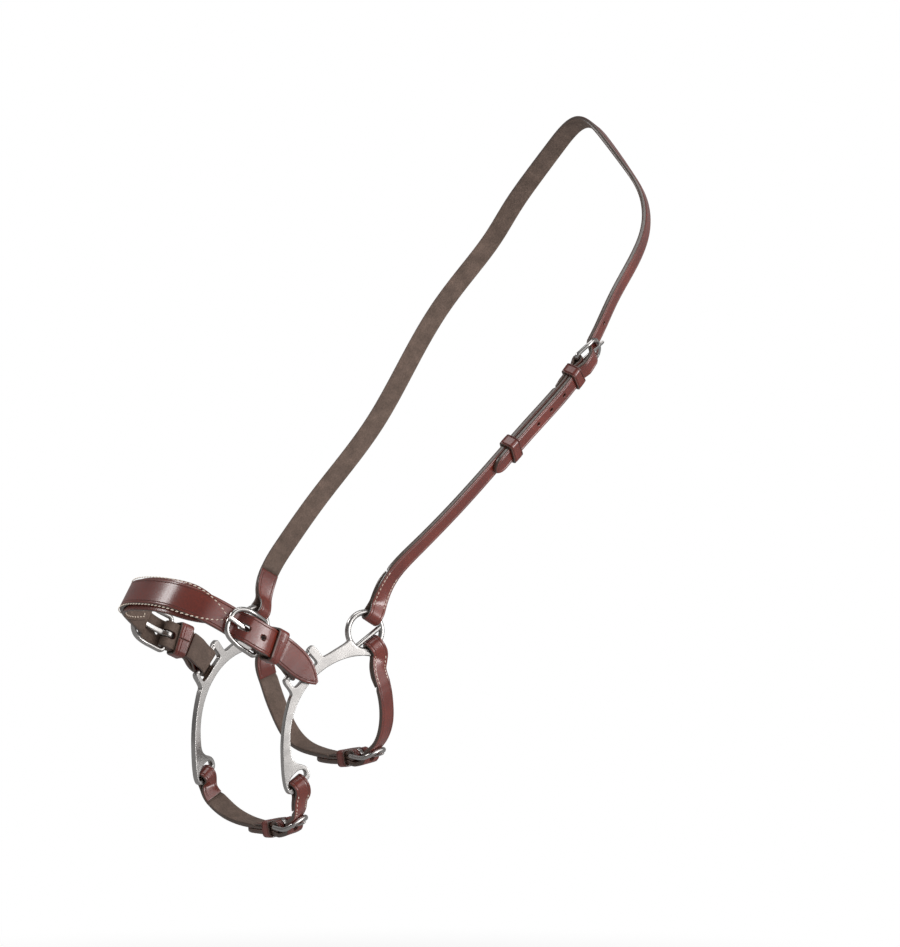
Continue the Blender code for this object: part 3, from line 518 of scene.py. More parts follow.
def pointed(base, width, taper, blunt, at_end=True, at_start=False):
    """A point on the free end of a billet, between two arcs of radius `sweep`."""
    reach = width / 2 - blunt
    sweep = (taper**2 + reach**2) / (2 * reach)

    def point(x):
        left = taper - min(max(x, 0.0), taper)
        return blunt + math.sqrt(sweep**2 - left**2) - (sweep - reach)

    def half(u, total):
        value = base(u, total)
        if at_end:
            value = min(value, point(total - u))
        if at_start:
            value = min(value, point(u))
        return value

    return half


SMALL = (SMALL_WIRE, SMALL_FRAME, SMALL_TONGUE, SMALL_TONGUE_THICK, SMALL_DIVE)
LARGE = (LARGE_WIRE, LARGE_FRAME, LARGE_TONGUE, LARGE_TONGUE_THICK, LARGE_DIVE)


class Buckle:
    """One buckle on a route: heel bar at s, front arc `way` * frame beyond it."""

    def __init__(self, route, s, way, strap_width, billet, sizes):
        self.route, self.s, self.way, self.billet = route, s, way, billet
        self.wire, self.frame, self.tongue, self.tongue_thick, self.dive = sizes
        self.half = strap_width / 2 + SIDE_GAP + self.wire
        self.fold_radius = self.wire + SEAT_GAP + SKIVED / 2
        self.over = self.fold_radius + SKIVED / 2 + SEAT_GAP + billet / 2 + SLACK
        self.rest = TOP + SEAT_GAP + billet / 2
        self.rise = CENTRE + billet / 2 + SEAT_GAP + self.wire
        self.root = self.wire + TONGUE_GAP + self.tongue_thick * EYE_WALL

    def lift(self, x):
        """Height of the side wires at distance x from the heel bar."""
        return self.rise * smooth(x / (self.frame * SIDE_RISE))

    def tongue_line(self, x):
        """Middle of the tongue at distance x from the heel bar."""
        end = self.rise + (self.wire + TONGUE_GAP + self.tongue_thick / 2) * TONGUE_OVER
        return TONGUE_ROOT + (end - TONGUE_ROOT) * (x - self.root) / (self.frame - self.root)

    def marks(self):
        """Levels of the billet where it runs through this buckle."""
        way, s, thick = self.way, self.s, self.billet
        return [
            (s + way * (self.frame + PAST_FRONT), CENTRE, thick),
            (s + way * (self.frame - self.dive[1]), CENTRE, thick),
            (s + way * (self.frame - self.dive[0]), self.over, thick),
            (s, self.over, thick),
            (s - way * self.fold_radius * EASE, self.rest, thick),
        ]

    def billet_hole(self, side):
        """The hole the tongue stands in: (u, length, width) along this billet."""
        level = sorted((p[0], p[1]) for p in side)
        reach = (self.billet + self.tongue_thick) / 2 * PASS_ROOM
        inside = []
        for x in steps(2.0, self.frame, 0.2):
            height = np.interp(self.s + self.way * x, [p[0] for p in level], [p[1] for p in level])
            if abs(height - self.tongue_line(x)) < reach:
                inside.append(x)
        ends = [run_at(side, self.s + self.way * x, False) for x in (inside[0], inside[-1])]
        return sum(ends) / 2, abs(ends[1] - ends[0]) + HOLE_ROOM, self.tongue + TONGUE_ROOM

    def fold_slot(self, side):
        """The slot in the fold that lets the tongue reach the heel bar."""
        length = self.fold_radius * math.pi + 2 * self.root + self.tongue
        return turn_over(side, self.s), length, self.tongue + SLOT_ROOM


CHEEK = Buckle(HEAD, CHEEK_BUCKLE_AT, 1, STRAP_WIDTH, CHEEK_BILLET_THICK, SMALL)
NEAR = Buckle(NOSE, NOSE_BUCKLE_AT, 1, NOSE_BILLET_WIDTH, NOSE_THICK, LARGE)
OFF = Buckle(NOSE, NOSE.length - NOSE_BUCKLE_AT, -1, NOSE_BILLET_WIDTH, NOSE_THICK, LARGE)
UNDER_JAW = Buckle(JAW, JAW_HEEL, -1, STRAP_WIDTH, UNDER_BILLET_THICK, SMALL)
UNDER_CHIN = Buckle(CHIN, CHIN_HEEL, -1, STRAP_WIDTH, UNDER_BILLET_THICK, SMALL)
LINING_FROM = NOSE_BUCKLE_AT + LARGE_FRAME - 2.4


# Colours and nodes
def linear(code):
    """An sRGB hex colour as linear red, green and blue."""
    parts = [int(code[i:i + 2], 16) / 255 for i in (1, 3, 5)]
    return tuple(p / 12.92 if p <= 0.04045 else ((p + 0.055) / 1.055) ** 2.4 for p in parts)


def fill(made, inputs):
    """Fills a node's sockets with numbers, colours or other nodes' outputs."""
    for key, value in inputs.items():
        if isinstance(value, bpy.types.NodeSocket):
            made.id_data.links.new(value, made.inputs[key])
        else:
            made.inputs[key].default_value = value


def node(tree, kind, inputs=None, **settings):
    """Adds a node with its settings and sockets."""
    made = tree.nodes.new(kind)
    for key, value in settings.items():
        setattr(made, key, value)
    fill(made, inputs or {})
    return made


def colour(value):
    return (*value, 1.0)


def noted(tree, name, output):
    """What `note` keeps at each point of a piece."""
    return node(tree, "ShaderNodeAttribute", attribute_name=name).outputs[output]


def noise(tree, place, scale, detail):
    inputs = {"Vector": place, "Scale": scale, "Detail": detail}
    return node(tree, "ShaderNodeTexNoise", inputs).outputs["Fac"]


def stretched(tree, place, scale):
    return node(tree, "ShaderNodeMapping", {"Vector": place, "Scale": scale}).outputs[0]


def remap(tree, value, old, new, **settings):
    """Takes the value from one range into another."""
    inputs = {0: value, 1: old[0], 2: old[1], 3: new[0], 4: new[1]}
    return node(tree, "ShaderNodeMapRange", inputs, **settings).outputs[0]


def mix(tree, share, one, other, **settings):
    """Mixes two colours."""
    inputs = {0: share, 6: one, 7: other}
    return node(tree, "ShaderNodeMix", inputs, data_type="RGBA", **settings).outputs[2]


def blend(tree, share, one, other):
    """Mixes two numbers."""
    return node(tree, "ShaderNodeMix", {0: share, 2: one, 3: other}).outputs[0]


def reckon(tree, operation, one, other, **settings):
    return node(tree, "ShaderNodeMath", {0: one, 1: other}, operation=operation,
                **settings).outputs[0]


def facing(tree, way, direction):
    """How nearly the two directions agree, 1 when they are the same."""
    return node(tree, "ShaderNodeVectorMath", {0: way, 1: direction},
                operation="DOT_PRODUCT").outputs["Value"]


def bump(tree, height, strength, distance):
    inputs = {"Height": height, "Strength": strength, "Distance": distance}
    return node(tree, "ShaderNodeBump", inputs).outputs[0]


class NosebandLeather(bpy.types.PropertyGroup):
    """Cut, edges and colours of the leather."""

    crease_inset: FloatProperty(
        name="Crease inset", description="Distance of the crease line from the edge",
        default=0.0019, min=0.001, max=0.004, unit="LENGTH")
    crease_depth: FloatProperty(
        name="Crease depth", description="Depth of the crease line pressed along the edges",
        default=0.00028, min=0.0, max=0.001, unit="LENGTH")
    grain_colour: FloatVectorProperty(
        name="Grain", description="Havana brown of the outer face",
        default=linear("#702a1d"), size=3, min=0, max=1, subtype="COLOR")
    deep_colour: FloatVectorProperty(
        name="Grain, deeper", description="Where the dye took more strongly",
        default=linear("#5a1f16"), size=3, min=0, max=1, subtype="COLOR")
    edge_colour: FloatVectorProperty(
        name="Edge", description="Dyed and burnished cut edges",
        default=linear("#43352c"), size=3, min=0, max=1, subtype="COLOR")
    flesh_colour: FloatVectorProperty(
        name="Flesh side", description="Back of the leather, sealed brown",
        default=linear("#735f54"), size=3, min=0, max=1, subtype="COLOR")


class NosebandStitching(bpy.types.PropertyGroup):
    """The saddle stitching."""

    nose_pitch: FloatProperty(
        name="Nose pitch", description="Distance between stitches on the nose strap",
        default=0.0031, min=0.002, max=0.005, unit="LENGTH")
    strap_pitch: FloatProperty(
        name="Strap pitch", description="Distance between stitches on the narrow straps",
        default=0.0024, min=0.0015, max=0.005, unit="LENGTH")
    thread: FloatProperty(
        name="Thread", description="Thickness of the thread on the nose strap",
        default=0.00075, min=0.0004, max=0.0015, unit="LENGTH")
    thread_colour: FloatVectorProperty(
        name="Thread", description="Natural waxed linen",
        default=linear("#e6d5c3"), size=3, min=0, max=1, subtype="COLOR")


class NosebandSteel(bpy.types.PropertyGroup):
    """Plates and buckles."""

    wire_sides: IntProperty(
        name="Wire sides", description="Facets round a buckle wire, divided by four",
        default=5, min=2, max=10)
    steel_colour: FloatVectorProperty(
        name="Steel", description="Stainless steel",
        default=linear("#d2cecb"), size=3, min=0, max=1, subtype="COLOR")


class NosebandStage(bpy.types.PropertyGroup):
    """Floor, light and camera."""

    floor_height: FloatProperty(
        name="Floor", description="Height of the floor under the poll",
        default=-0.62, min=-2.0, max=-0.5, unit="LENGTH")
    azimuth: FloatProperty(
        name="View", description="Turn of the camera from square on to the side",
        default=math.radians(40.0), subtype="ANGLE")
    distance: FloatProperty(
        name="Distance", description="From the camera to the object",
        default=2.6, min=0.5, max=6.0, unit="LENGTH")


# Materials
# What a noise texture really spans
FINE = (0.3, 0.7)


def new_material(name):
    made = bpy.data.materials.new(name)
    made.use_nodes = True
    tree = made.node_tree
    return made, tree, tree.nodes["Principled BSDF"]


@cache
def grain_leather():
    """Bridle leather, vegetable tanned, drum dyed, waxed and polished.
    The eye gets a close smooth grain, soft broad highlights, darker burnished edges and
    slow changes of tone along each strap."""
    look = bpy.context.scene.noseband_leather
    made, tree, shader = new_material("bridle_leather_waxed")
    hide = noted(tree, "hide", "Vector")
    rim = noted(tree, "rim", "Fac")
    crease = noted(tree, "crease", "Fac")
    # clouds of dye about 30 mm across
    cloud = noise(tree, hide, 0.033, 3.0)
    # fibre mottling about 1.5 mm across
    mottle = noise(tree, hide, 0.65, 4.0)
    # hair pores, 0.35 mm apart
    pores = node(tree, "ShaderNodeTexVoronoi", {"Vector": hide, "Scale": 2.8}, feature="F1")
    # fat wrinkles about 0.8 mm apart, drawn out across the strap
    wrinkles = noise(tree, stretched(tree, hide, (1.3, 0.5, 1.0)), 1.0, 5.0)
    tone = remap(tree, cloud, (0.35, 0.68), (0.0, 1.0))
    base = mix(tree, tone, colour(look.deep_colour), colour(look.grain_colour))
    shade = remap(tree, mottle, FINE, (0.86, 1.1))
    toned = mix(tree, 1.0, base, shade, blend_type="MULTIPLY")
    # darker along the crease lines, mixed part way towards the edge colour
    crease_darkening = reckon(tree, "MULTIPLY", crease, 0.45)
    creased = mix(tree, crease_darkening, toned, colour(look.edge_colour))
    edged = mix(tree, rim, creased, colour(look.edge_colour))
    gloss = remap(tree, mottle, FINE, (0.42, 0.56))
    # wax, thinner in patches
    wax = remap(tree, mottle, FINE, (1.0, 0.7))
    pit = remap(tree, pores.outputs["Distance"], (0.0, 0.35), (0.0, 1.0))
    height = reckon(tree, "ADD", pit, wrinkles)
    fill(shader, {
        "Normal": bump(tree, height, 0.5, 0.00004), "Base Color": edged, "Roughness": gloss,
        "Specular IOR Level": 0.12, "Coat Weight": wax, "Coat Roughness": 0.26, "Coat IOR": 1.9})
    return made


@cache
def flesh_leather():
    """The back of the same leather, sealed and glassed down.
    The eye gets a matt grey-brown with short fibres."""
    look = bpy.context.scene.noseband_leather
    made, tree, shader = new_material("leather_flesh_side_sealed")
    hide = noted(tree, "hide", "Vector")
    # loose fibres, 0.4 mm thick and a few millimetres long
    fibre = noise(tree, stretched(tree, hide, (0.35, 1.0, 1.0)), 2.4, 4.0)
    patch = noise(tree, hide, 0.12, 3.0)
    shade = remap(tree, fibre, FINE, (0.7, 1.25))
    tint = mix(tree, patch, colour(look.flesh_colour), colour(look.edge_colour))
    toned = mix(tree, 1.0, tint, shade, blend_type="MULTIPLY")
    fill(shader, {"Normal": bump(tree, fibre, 0.7, 0.00012), "Base Color": toned,
                  "Roughness": 0.62})
    return made


@cache
def linen_thread():
    """Waxed linen thread, twisted. The eye gets cream dots with a slanting twist."""
    look = bpy.context.scene.noseband_stitching
    made, tree, shader = new_material("linen_thread_waxed")
    hide = noted(tree, "hide", "Vector")
    # plies 0.35 mm apart
    ply = node(tree, "ShaderNodeTexWave", {"Vector": hide, "Scale": 0.9, "Distortion": 0.4},
               wave_type="BANDS", bands_direction="DIAGONAL")
    shade = remap(tree, noise(tree, hide, 0.25, 2.0), FINE, (0.8, 1.0))
    toned = mix(tree, 1.0, colour(look.thread_colour), shade, blend_type="MULTIPLY")
    fill(shader, {"Normal": bump(tree, ply.outputs["Fac"], 0.6, 0.00008), "Base Color": toned,
                  "Roughness": 0.55})
    return made


@cache
def polished_steel(name, roughest):
    """Stainless steel, cast and polished on a wheel.
    The eye gets a bright mirror with faint wheel lines and dark reflections at its edges."""
    look = bpy.context.scene.noseband_steel
    made, tree, shader = new_material(name)
    place = node(tree, "ShaderNodeTexCoord").outputs["Object"]
    # wheel lines 0.3 mm apart along the height, drawn as coarse as the render shows
    lines = noise(tree, stretched(tree, place, (3000.0, 3000.0, 120.0)), 1.0, 3.0)
    # handling marks about 8 mm across
    smudge = noise(tree, place, 120.0, 4.0)
    gloss = remap(tree, smudge, (0.35, 0.7), (roughest * 0.6, roughest))
    fill(shader, {"Normal": bump(tree, lines, 0.08, 0.00002), "Roughness": gloss,
                  "Base Color": colour(look.steel_colour), "Metallic": 1.0})
    return made


def wire_steel():
    return polished_steel("stainless_steel_wire", 0.28)


def leather_pair():
    """The outer face and the back, in the order of a strap's material numbers."""
    return [grain_leather(), flesh_leather()]


# Making and finishing pieces
def start_clear():
    bpy.ops.object.select_all(action="DESELECT")


def only(item):
    """Selects this item alone and makes it active."""
    start_clear()
    item.select_set(True)
    bpy.context.view_layer.objects.active = item


def linked(name, data):
    item = bpy.data.objects.new(name, data)
    bpy.context.scene.collection.objects.link(item)
    return item


def apply_all(item):
    bpy.context.view_layer.objects.active = item
    for step in list(item.modifiers):
        bpy.ops.object.modifier_apply(modifier=step.name)


def combine(item, tool, operation):
    """Cuts the tool from the item or joins it on, and removes the tool."""
    step = item.modifiers.new("combine", "BOOLEAN")
    step.operation = operation
    step.solver = "EXACT"
    step.object = tool
    apply_all(item)
    bpy.data.objects.remove(tool, do_unlink=True)


def closed_line(data, spots):
    """Adds a closed line through the spots to a curve."""
    spline = data.splines.new("POLY")
    spline.points.add(len(spots) - 1)
    for point, spot in zip(spline.points, spots):
        point.co = (*spot, 1.0)
    spline.use_cyclic_u = True
    return spline


def as_mesh(name, curve):
    """An object with the curve turned into a mesh."""
    only(linked(name, curve))
    bpy.ops.object.convert(target="MESH")
    return bpy.context.object


def coordinates(mesh):
    table = np.empty(len(mesh.vertices) * 3)
    mesh.vertices.foreach_get("co", table)
    return table.reshape(-1, 3)


def set_coordinates(mesh, table):
    mesh.vertices.foreach_set("co", np.ascontiguousarray(table, float).ravel())
    mesh.update()


def note(mesh, name, values):
    """A number or place kept at each point for the materials."""
    kind = "FLOAT" if values.ndim == 1 else "FLOAT_VECTOR"
    kept = mesh.attributes.new(name, kind, "POINT")
    kept.data.foreach_set("value" if kind == "FLOAT" else "vector",
                          np.ascontiguousarray(values, np.float32).ravel())


def finish(item, name, owner, paints, node_names=(), sharp=35.0):
    """Names a piece, paints it, smooths it up to the angle `sharp`, and lets it ride with
    the node `owner`."""
    item.name = name
    item.data.name = name
    for paint in paints:
        item.data.materials.append(paint)
    only(item)
    if sharp is not None:
        bpy.ops.object.shade_smooth_by_angle(angle=math.radians(sharp))
    start_clear()
    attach(item, body_of(frame["nodes"][owner])[0])
    if node_names:
        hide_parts(*node_names)
    return item


# Flat leather
# Stations from the tip of a billet, close together where it is narrow
TIP_BANDS = (*np.arange(0.0, 3.0, 0.22), *np.arange(3.0, 14.0, 0.5), *np.arange(14.0, 24.0, 0.9))
# The end of a strip where the nearest edge is searched for, how far to look, and how many
# places at a time
TIP_ZONE = 30.0
SEARCH = 12.0
BATCH = 400


class Cut:
    """A strip as it is cut: stations along, half widths, and the distance to its edge."""

    def __init__(self, total, half, fine_start=False, fine_end=False, pace=1.5):
        marks = set(steps(0.0, total, pace))
        marks.update(float(u) for u in (TIP_BANDS if fine_start else EDGE_BANDS))
        marks.update(total - float(u) for u in (TIP_BANDS if fine_end else EDGE_BANDS))
        kept = []
        for u in sorted(m for m in marks if 0.0 <= m <= total):
            if not kept or u - kept[-1] > LEAST_ROW:
                kept.append(u)
        kept[-1] = total
        self.u = np.array(kept)
        self.half = np.array([half(u, total) for u in kept])
        self.total = total
        outline = np.arange(0.0, total, OUTLINE_PACE)
        self.line_u = np.concatenate((outline, [total]))
        self.line_w = np.interp(self.line_u, self.u, self.half)
        for end, w in ((0.0, self.half[0]), (total, self.half[-1])):
            cap = np.arange(0.0, w, OUTLINE_PACE)
            self.line_u = np.concatenate((self.line_u, np.full(len(cap), end)))
            self.line_w = np.concatenate((self.line_w, cap))

    def inside(self, u, inset):
        """Half width at u of the line that runs `inset` from the edge."""
        near = np.abs(self.line_u - u) < inset
        gap = np.sqrt(inset**2 - (self.line_u[near] - u) ** 2)
        return (self.line_w[near] - gap).min()

    def rows(self, insets, inner):
        """Places across at each station: rows at the given distances from the edge."""
        table = []
        for j, inset in enumerate(insets):
            if inset == 0.0:
                table.append(self.half.copy())
                continue
            # near a tip the rows draw together instead of crossing the middle
            least = self.half * (1.0 - 0.6 * j / (len(insets) - 1)) * 0.98
            found = np.array([self.inside(u, inset) for u in self.u])
            table.append(np.maximum(found, least))
        last = table[-1]
        outer = np.stack(table, axis=1)
        middle = np.stack([last * (1 - 2 * k / inner) for k in range(1, inner)], axis=1)
        return np.concatenate((outer, middle, -outer[:, ::-1]), axis=1)

    def from_edge(self, u, w):
        """Distance of the places (u, w) from the cut edge."""
        w = np.abs(w)
        far = np.interp(u, self.u, self.half) - w
        spots = np.nonzero((u < TIP_ZONE) | (u > self.total - TIP_ZONE))[0]
        for batch in np.array_split(spots, max(1, len(spots) // BATCH)):
            low, high = u[batch].min() - SEARCH, u[batch].max() + SEARCH
            keep = (self.line_u > low) & (self.line_u < high)
            du = u[batch][:, None] - self.line_u[keep][None, :]
            dw = w[batch][:, None] - self.line_w[keep][None, :]
            far[batch] = np.sqrt((du**2 + dw**2).min(axis=1))
        return np.maximum(far, 0.0)


# A punch: its sides, how much wider the hole is at the surface, how deep that flare
# begins, and how far the tool stands out
PUNCH_SIDES = 20
FLARE = 0.7
FLARE_DEEP = 0.25
PUNCH_OUT = 4.0


def punch(at, length, width):
    """Cutter for a punched hole or slot, flared where it leaves the leather."""
    start_clear()
    bpy.ops.mesh.primitive_cylinder_add(
        vertices=PUNCH_SIDES, radius=width / 2, depth=FLAT_THICK - 2 * FLARE_DEEP)
    tool = bpy.context.object
    bpy.ops.object.mode_set(mode="EDIT")
    for way in (1, -1):
        bpy.ops.mesh.select_all(action="DESELECT")
        bpy.ops.mesh.select_mode(type="FACE")
        work = bmesh.from_edit_mesh(tool.data)
        for face in work.faces:
            face.select = face.normal.z * way > 0.9
        bmesh.update_edit_mesh(tool.data)
        for rise, grow in ((FLARE_DEEP, 1.0 + FLARE / width), (PUNCH_OUT, 1.0)):
            bpy.ops.mesh.extrude_region_move(
                TRANSFORM_OT_translate={"value": (0, 0, rise * way)})
            bpy.ops.transform.resize(value=(grow, grow, 1.0))
    bpy.ops.object.mode_set(mode="OBJECT")
    table = coordinates(tool.data)
    table[:, 0] += at + np.sign(table[:, 0].round(4)) * max(length - width, 0.0) / 2
    set_coordinates(tool.data, table)
    return tool


def punch_all(item, holes):
    """Cuts all the holes, each given as (along, length, width)."""
    if not holes:
        return
    tools = [punch(*hole) for hole in holes]
    only(tools[0])
    for tool in tools:
        tool.select_set(True)
    if len(tools) > 1:
        bpy.ops.object.join()
    combine(item, tools[0], "DIFFERENCE")


def pressed(gap):
    """Depth of a crease from 0 to 1 at the distance `gap` from its line."""
    return np.clip(1 - np.abs(gap) / CREASE_HALF, 0, 1)


def flat_leather(cut, holes=(), inset=None, depth=0.0, extra_lines=()):
    """The strip lying flat: a grid cut to its outline, given thickness, rounded edges,
    crease lines and holes. Returns the object with its notes for the materials."""
    bands = list(EDGE_BANDS)
    if inset is not None:
        bands += [inset + x for x in CREASE_ROWS]
    wide = float(cut.half.max())
    inner = max(2, round(2 * (wide - bands[-1]) / ROW_PACE))
    rows = cut.rows(bands, inner)
    for line in extra_lines:
        spare = np.argsort(np.abs(rows[0] - line))[:3]
        rows[:, np.sort(spare)] = (line + CREASE_ROW_HALF, line, line - CREASE_ROW_HALF)
    start_clear()
    bpy.ops.mesh.primitive_grid_add(
        x_subdivisions=len(cut.u) - 1, y_subdivisions=rows.shape[1] - 1, size=2)
    item = bpy.context.object
    table = coordinates(item.data)
    i = np.rint((table[:, 0] + 1) / 2 * (len(cut.u) - 1)).astype(int)
    j = np.rint((1 - table[:, 1]) / 2 * (rows.shape[1] - 1)).astype(int)
    table[:, 0] = cut.u[i]
    table[:, 1] = rows[i, j]
    table[:, 2] = 0.0
    set_coordinates(item.data, table)
    body = item.modifiers.new("thickness", "SOLIDIFY")
    body.thickness = FLAT_THICK
    body.offset = 0.0
    apply_all(item)
    table = coordinates(item.data)
    away = cut.from_edge(table[:, 0], table[:, 1])
    outer = table[:, 2] > 0
    round_off = np.interp(away, EDGE_BANDS, EDGE_ROUND)
    table[:, 2] = np.sign(table[:, 2]) * FLAT_THICK / 2 * round_off
    groove = np.zeros(len(table)) if inset is None else pressed(away - inset)
    for line in extra_lines:
        groove = np.maximum(groove, pressed(table[:, 1] - line))
    table[:, 2] -= np.sin(groove * math.pi / 2) ** 2 * outer * depth
    set_coordinates(item.data, table)
    punch_all(item, holes)
    table = coordinates(item.data)
    away = cut.from_edge(table[:, 0], table[:, 1])
    rim = np.interp(away, *EDGE_RIM)
    for at, length, width in holes:
        spare = max(length - width, 0.0) / 2
        du = np.maximum(np.abs(table[:, 0] - at) - spare, 0.0)
        gap = np.hypot(du, table[:, 1]) - width / 2
        rim = np.maximum(rim, np.interp(gap, *HOLE_RIM))
    line = np.zeros(len(table)) if inset is None else pressed(away - inset) * (table[:, 2] > 0)
    note(item.data, "hide", table.copy())
    note(item.data, "rim", rim)
    note(item.data, "crease", line)
    back = np.zeros(len(item.data.polygons), np.int32)
    for face in item.data.polygons:
        back[face.index] = face.normal.z < -0.5 and face.center.z < 0
    item.data.polygons.foreach_set("material_index", back)
    return item


def bend(table, route, side):
    """Carries flat places (along, across, outwards) onto the route."""
    run = np.array(lengths(side))
    s, t, thick = (np.array([p[k] for p in side]) for k in range(3))
    u = table[:, 0]
    z = table[:, 2] * np.interp(u, run, thick) / FLAT_THICK
    along = np.interp(u, run, np.gradient(s, run))
    up = np.interp(u, run, np.gradient(t, run))
    size = np.hypot(along, up)
    return route.place(np.interp(u, run, s) - up / size * z, table[:, 1],
                       np.interp(u, run, t) + along / size * z) * MM


def strap(name, route, side, half, holes=(), fine=(False, False), inset=True):
    """A finished strap in place of the node of the same name."""
    look = bpy.context.scene.noseband_leather
    cut = Cut(lengths(side)[-1], half, *fine)
    item = flat_leather(cut, holes, look.crease_inset / MM if inset else None,
                        look.crease_depth / MM)
    set_coordinates(item.data, bend(coordinates(item.data), route, side))
    return finish(item, name + "_leather", name, leather_pair(), [name])


# One stitch from hole to hole as (along, girth, rise): along in stitch lengths, the others
# in thicknesses of the thread
STITCH = (
    (-0.5, 0.0, -0.32), (-0.42, 0.62, -0.16), (-0.2, 0.95, 0.10), (0.0, 1.0, 0.16),
    (0.2, 0.95, 0.10), (0.42, 0.62, -0.16), (0.5, 0.0, -0.32),
)
STITCH_SIDES = 6
STITCH_SLANT = math.radians(12.0)
# Reach of the look ahead and back for a stitch's direction, how flat the thread is
# pressed, how deep it is pulled in, and the shift of the twist from stitch to stitch
ROW_REACH = 0.6
THREAD_FLAT = 0.8
THREAD_DEEP = 0.12
THREAD_SHIFT = 0.7


# The nose strap's rows: how much farther in than the crease, how close their places lie,
# how deep the thread is pulled in, and the length of a stitch
NOSE_INSET = 0.2
NOSE_ROW_PACE = 0.25
NOSE_DEEP = 0.1
NOSE_STITCH = 2.15
# On the narrow straps: the thread by that on the nose, and a stitch by its pitch
STRAP_THREAD = 0.8
STRAP_STITCH = 0.84


def stitches(name, owner, rows, lay, thread, length):
    """Saddle stitches in rows of places (along, across), laid onto the leather by `lay`."""
    sides = STITCH_SIDES
    points, notes, faces = [], [], []
    for row, pitch in rows:
        row = np.array(row, float)
        run = np.concatenate(([0.0], np.cumsum(np.linalg.norm(np.diff(row, axis=0), axis=1))))

        def on_row(x):
            return np.array([np.interp(x, run, row[:, c]) for c in range(2)])

        count = max(1, int(run[-1] / pitch))
        for k in range(count):
            middle = (k + 0.5) * run[-1] / count
            at = on_row(middle)
            ahead = on_row(middle + ROW_REACH) - on_row(middle - ROW_REACH)
            turn = math.atan2(ahead[1], ahead[0]) + STITCH_SLANT
            way = np.array([math.cos(turn), math.sin(turn)])
            off = np.array([-way[1], way[0]])
            first = len(points)
            for x, girth, rise in STITCH:
                for q in range(sides if girth else 1):
                    a = 2 * math.pi * q / sides
                    y = girth * thread / 2 * math.cos(a)
                    z = girth * thread / 2 * math.sin(a) * THREAD_FLAT + rise * thread
                    spot = at + way * x * length + off * y
                    points.append((*spot, z))
                    notes.append((x * length, y + k * THREAD_SHIFT, z))
            ring = [first + 1 + sides * r for r in range(len(STITCH) - 2)]
            last = ring[-1] + sides
            for q in range(sides):
                p = (q + 1) % sides
                faces.append((first, ring[0] + p, ring[0] + q))
                for low, high in zip(ring, ring[1:]):
                    faces.append((low + q, low + p, high + p, high + q))
                faces.append((ring[-1] + q, ring[-1] + p, last))
    mesh = bpy.data.meshes.new(name)
    mesh.from_pydata([tuple(p) for p in lay(np.array(points))], [], faces)
    note(mesh, "hide", np.array(notes))
    return finish(linked(name, mesh), name, owner, [linen_thread()], sharp=80.0)


def on_strap(route, side):
    """Lays places given as (along, across, height over the outer face) onto a strap."""
    run = np.array(lengths(side))
    thick = np.array([p[2] for p in side])

    def lay(table):
        flat = table.copy()
        here = np.interp(table[:, 0], run, thick)
        flat[:, 2] = FLAT_THICK / 2 + (table[:, 2] - THREAD_DEEP) * FLAT_THICK / here
        return bend(flat, route, side)

    return lay


def stitch_fold(name, owner, route, side, half, low, high):
    """Two rows of stitches, at the crease, between two places s on the outer layer."""
    look = bpy.context.scene.noseband_stitching
    inset = bpy.context.scene.noseband_leather.crease_inset / MM
    total = lengths(side)[-1]
    pitch = look.strap_pitch / MM
    first, last = sorted((run_at(side, low), run_at(side, high)))
    rows = []
    for way in (1, -1):
        row = [(u, way * (half(u, total) - inset)) for u in steps(first, last, 1.0)]
        rows.append((row, pitch))
    return stitches(name, owner, rows, on_strap(route, side), look.thread / MM * STRAP_THREAD,
                    pitch * STRAP_STITCH)


# Keepers
KEEPER_CORNER = 1.8
KEEPER_TURN = 11.25
KEEPER_PACE = 0.9
KEEPER_CREASE = 1.25
KEEPER_CREASE_DEEPER = 1.8
NOSE_KEEPER_LINES = (2.9, 1.1)


def loop_path(half_w, low, high, radius):
    """A rounded rectangle from the middle of its underside, as (across, level, turn)."""
    path = [(0.0, low, -90.0)]
    for cx, cy, start in ((half_w - radius, low + radius, -90.0),
                          (half_w - radius, high - radius, 0.0),
                          (-half_w + radius, high - radius, 90.0),
                          (-half_w + radius, low + radius, 180.0)):
        for turn in steps(start, start + 90.0, KEEPER_TURN):
            x, y = polar(radius, turn)
            path.append((cx + x, cy + y, turn))
    path.append((0.0, low, 270.0))
    return path


def keeper(name, route, s, half_w, low, high, width, lines=()):
    """A loop of leather, butted under the strap, creased along its edges or at `lines`."""
    look = bpy.context.scene.noseband_leather
    mid = KEEPER_THICK / 2
    path = loop_path(half_w + mid, low - mid, high + mid, KEEPER_CORNER)
    run = lengths(path)
    cut = Cut(run[-1], straight(width), pace=KEEPER_PACE)
    item = flat_leather(cut, (), None if lines else KEEPER_CREASE,
                        look.crease_depth * KEEPER_CREASE_DEEPER / MM, lines)
    table = coordinates(item.data)
    across, level, turn = (np.interp(table[:, 0], run, [p[k] for p in path]) for k in range(3))
    turn = np.radians(turn)
    z = table[:, 2] * KEEPER_THICK / FLAT_THICK
    placed = route.place(s + table[:, 1], across + np.cos(turn) * z, level + np.sin(turn) * z)
    set_coordinates(item.data, placed * MM)
    only(item)
    bpy.ops.object.mode_set(mode="EDIT")
    bpy.ops.mesh.select_all(action="SELECT")
    bpy.ops.mesh.normals_make_consistent(inside=False)
    bpy.ops.object.mode_set(mode="OBJECT")
    return finish(item, name + "_leather", name, leather_pair(), [name])


# Steel
def refine(points, count):
    """A smooth line through a closed outline, with `count` points for each one given."""
    table = np.array(points, float)
    before, after, beyond = (np.roll(table, k, axis=0) for k in (1, -1, -2))
    out = []
    for k in range(count):
        x = k / count
        out.append(0.5 * (2 * table + (after - before) * x
                          + (2 * before - 5 * table + 4 * after - beyond) * x**2
                          + (3 * table - before - 3 * after + beyond) * x**3))
    return np.stack(out, axis=1).reshape(-1, 2)


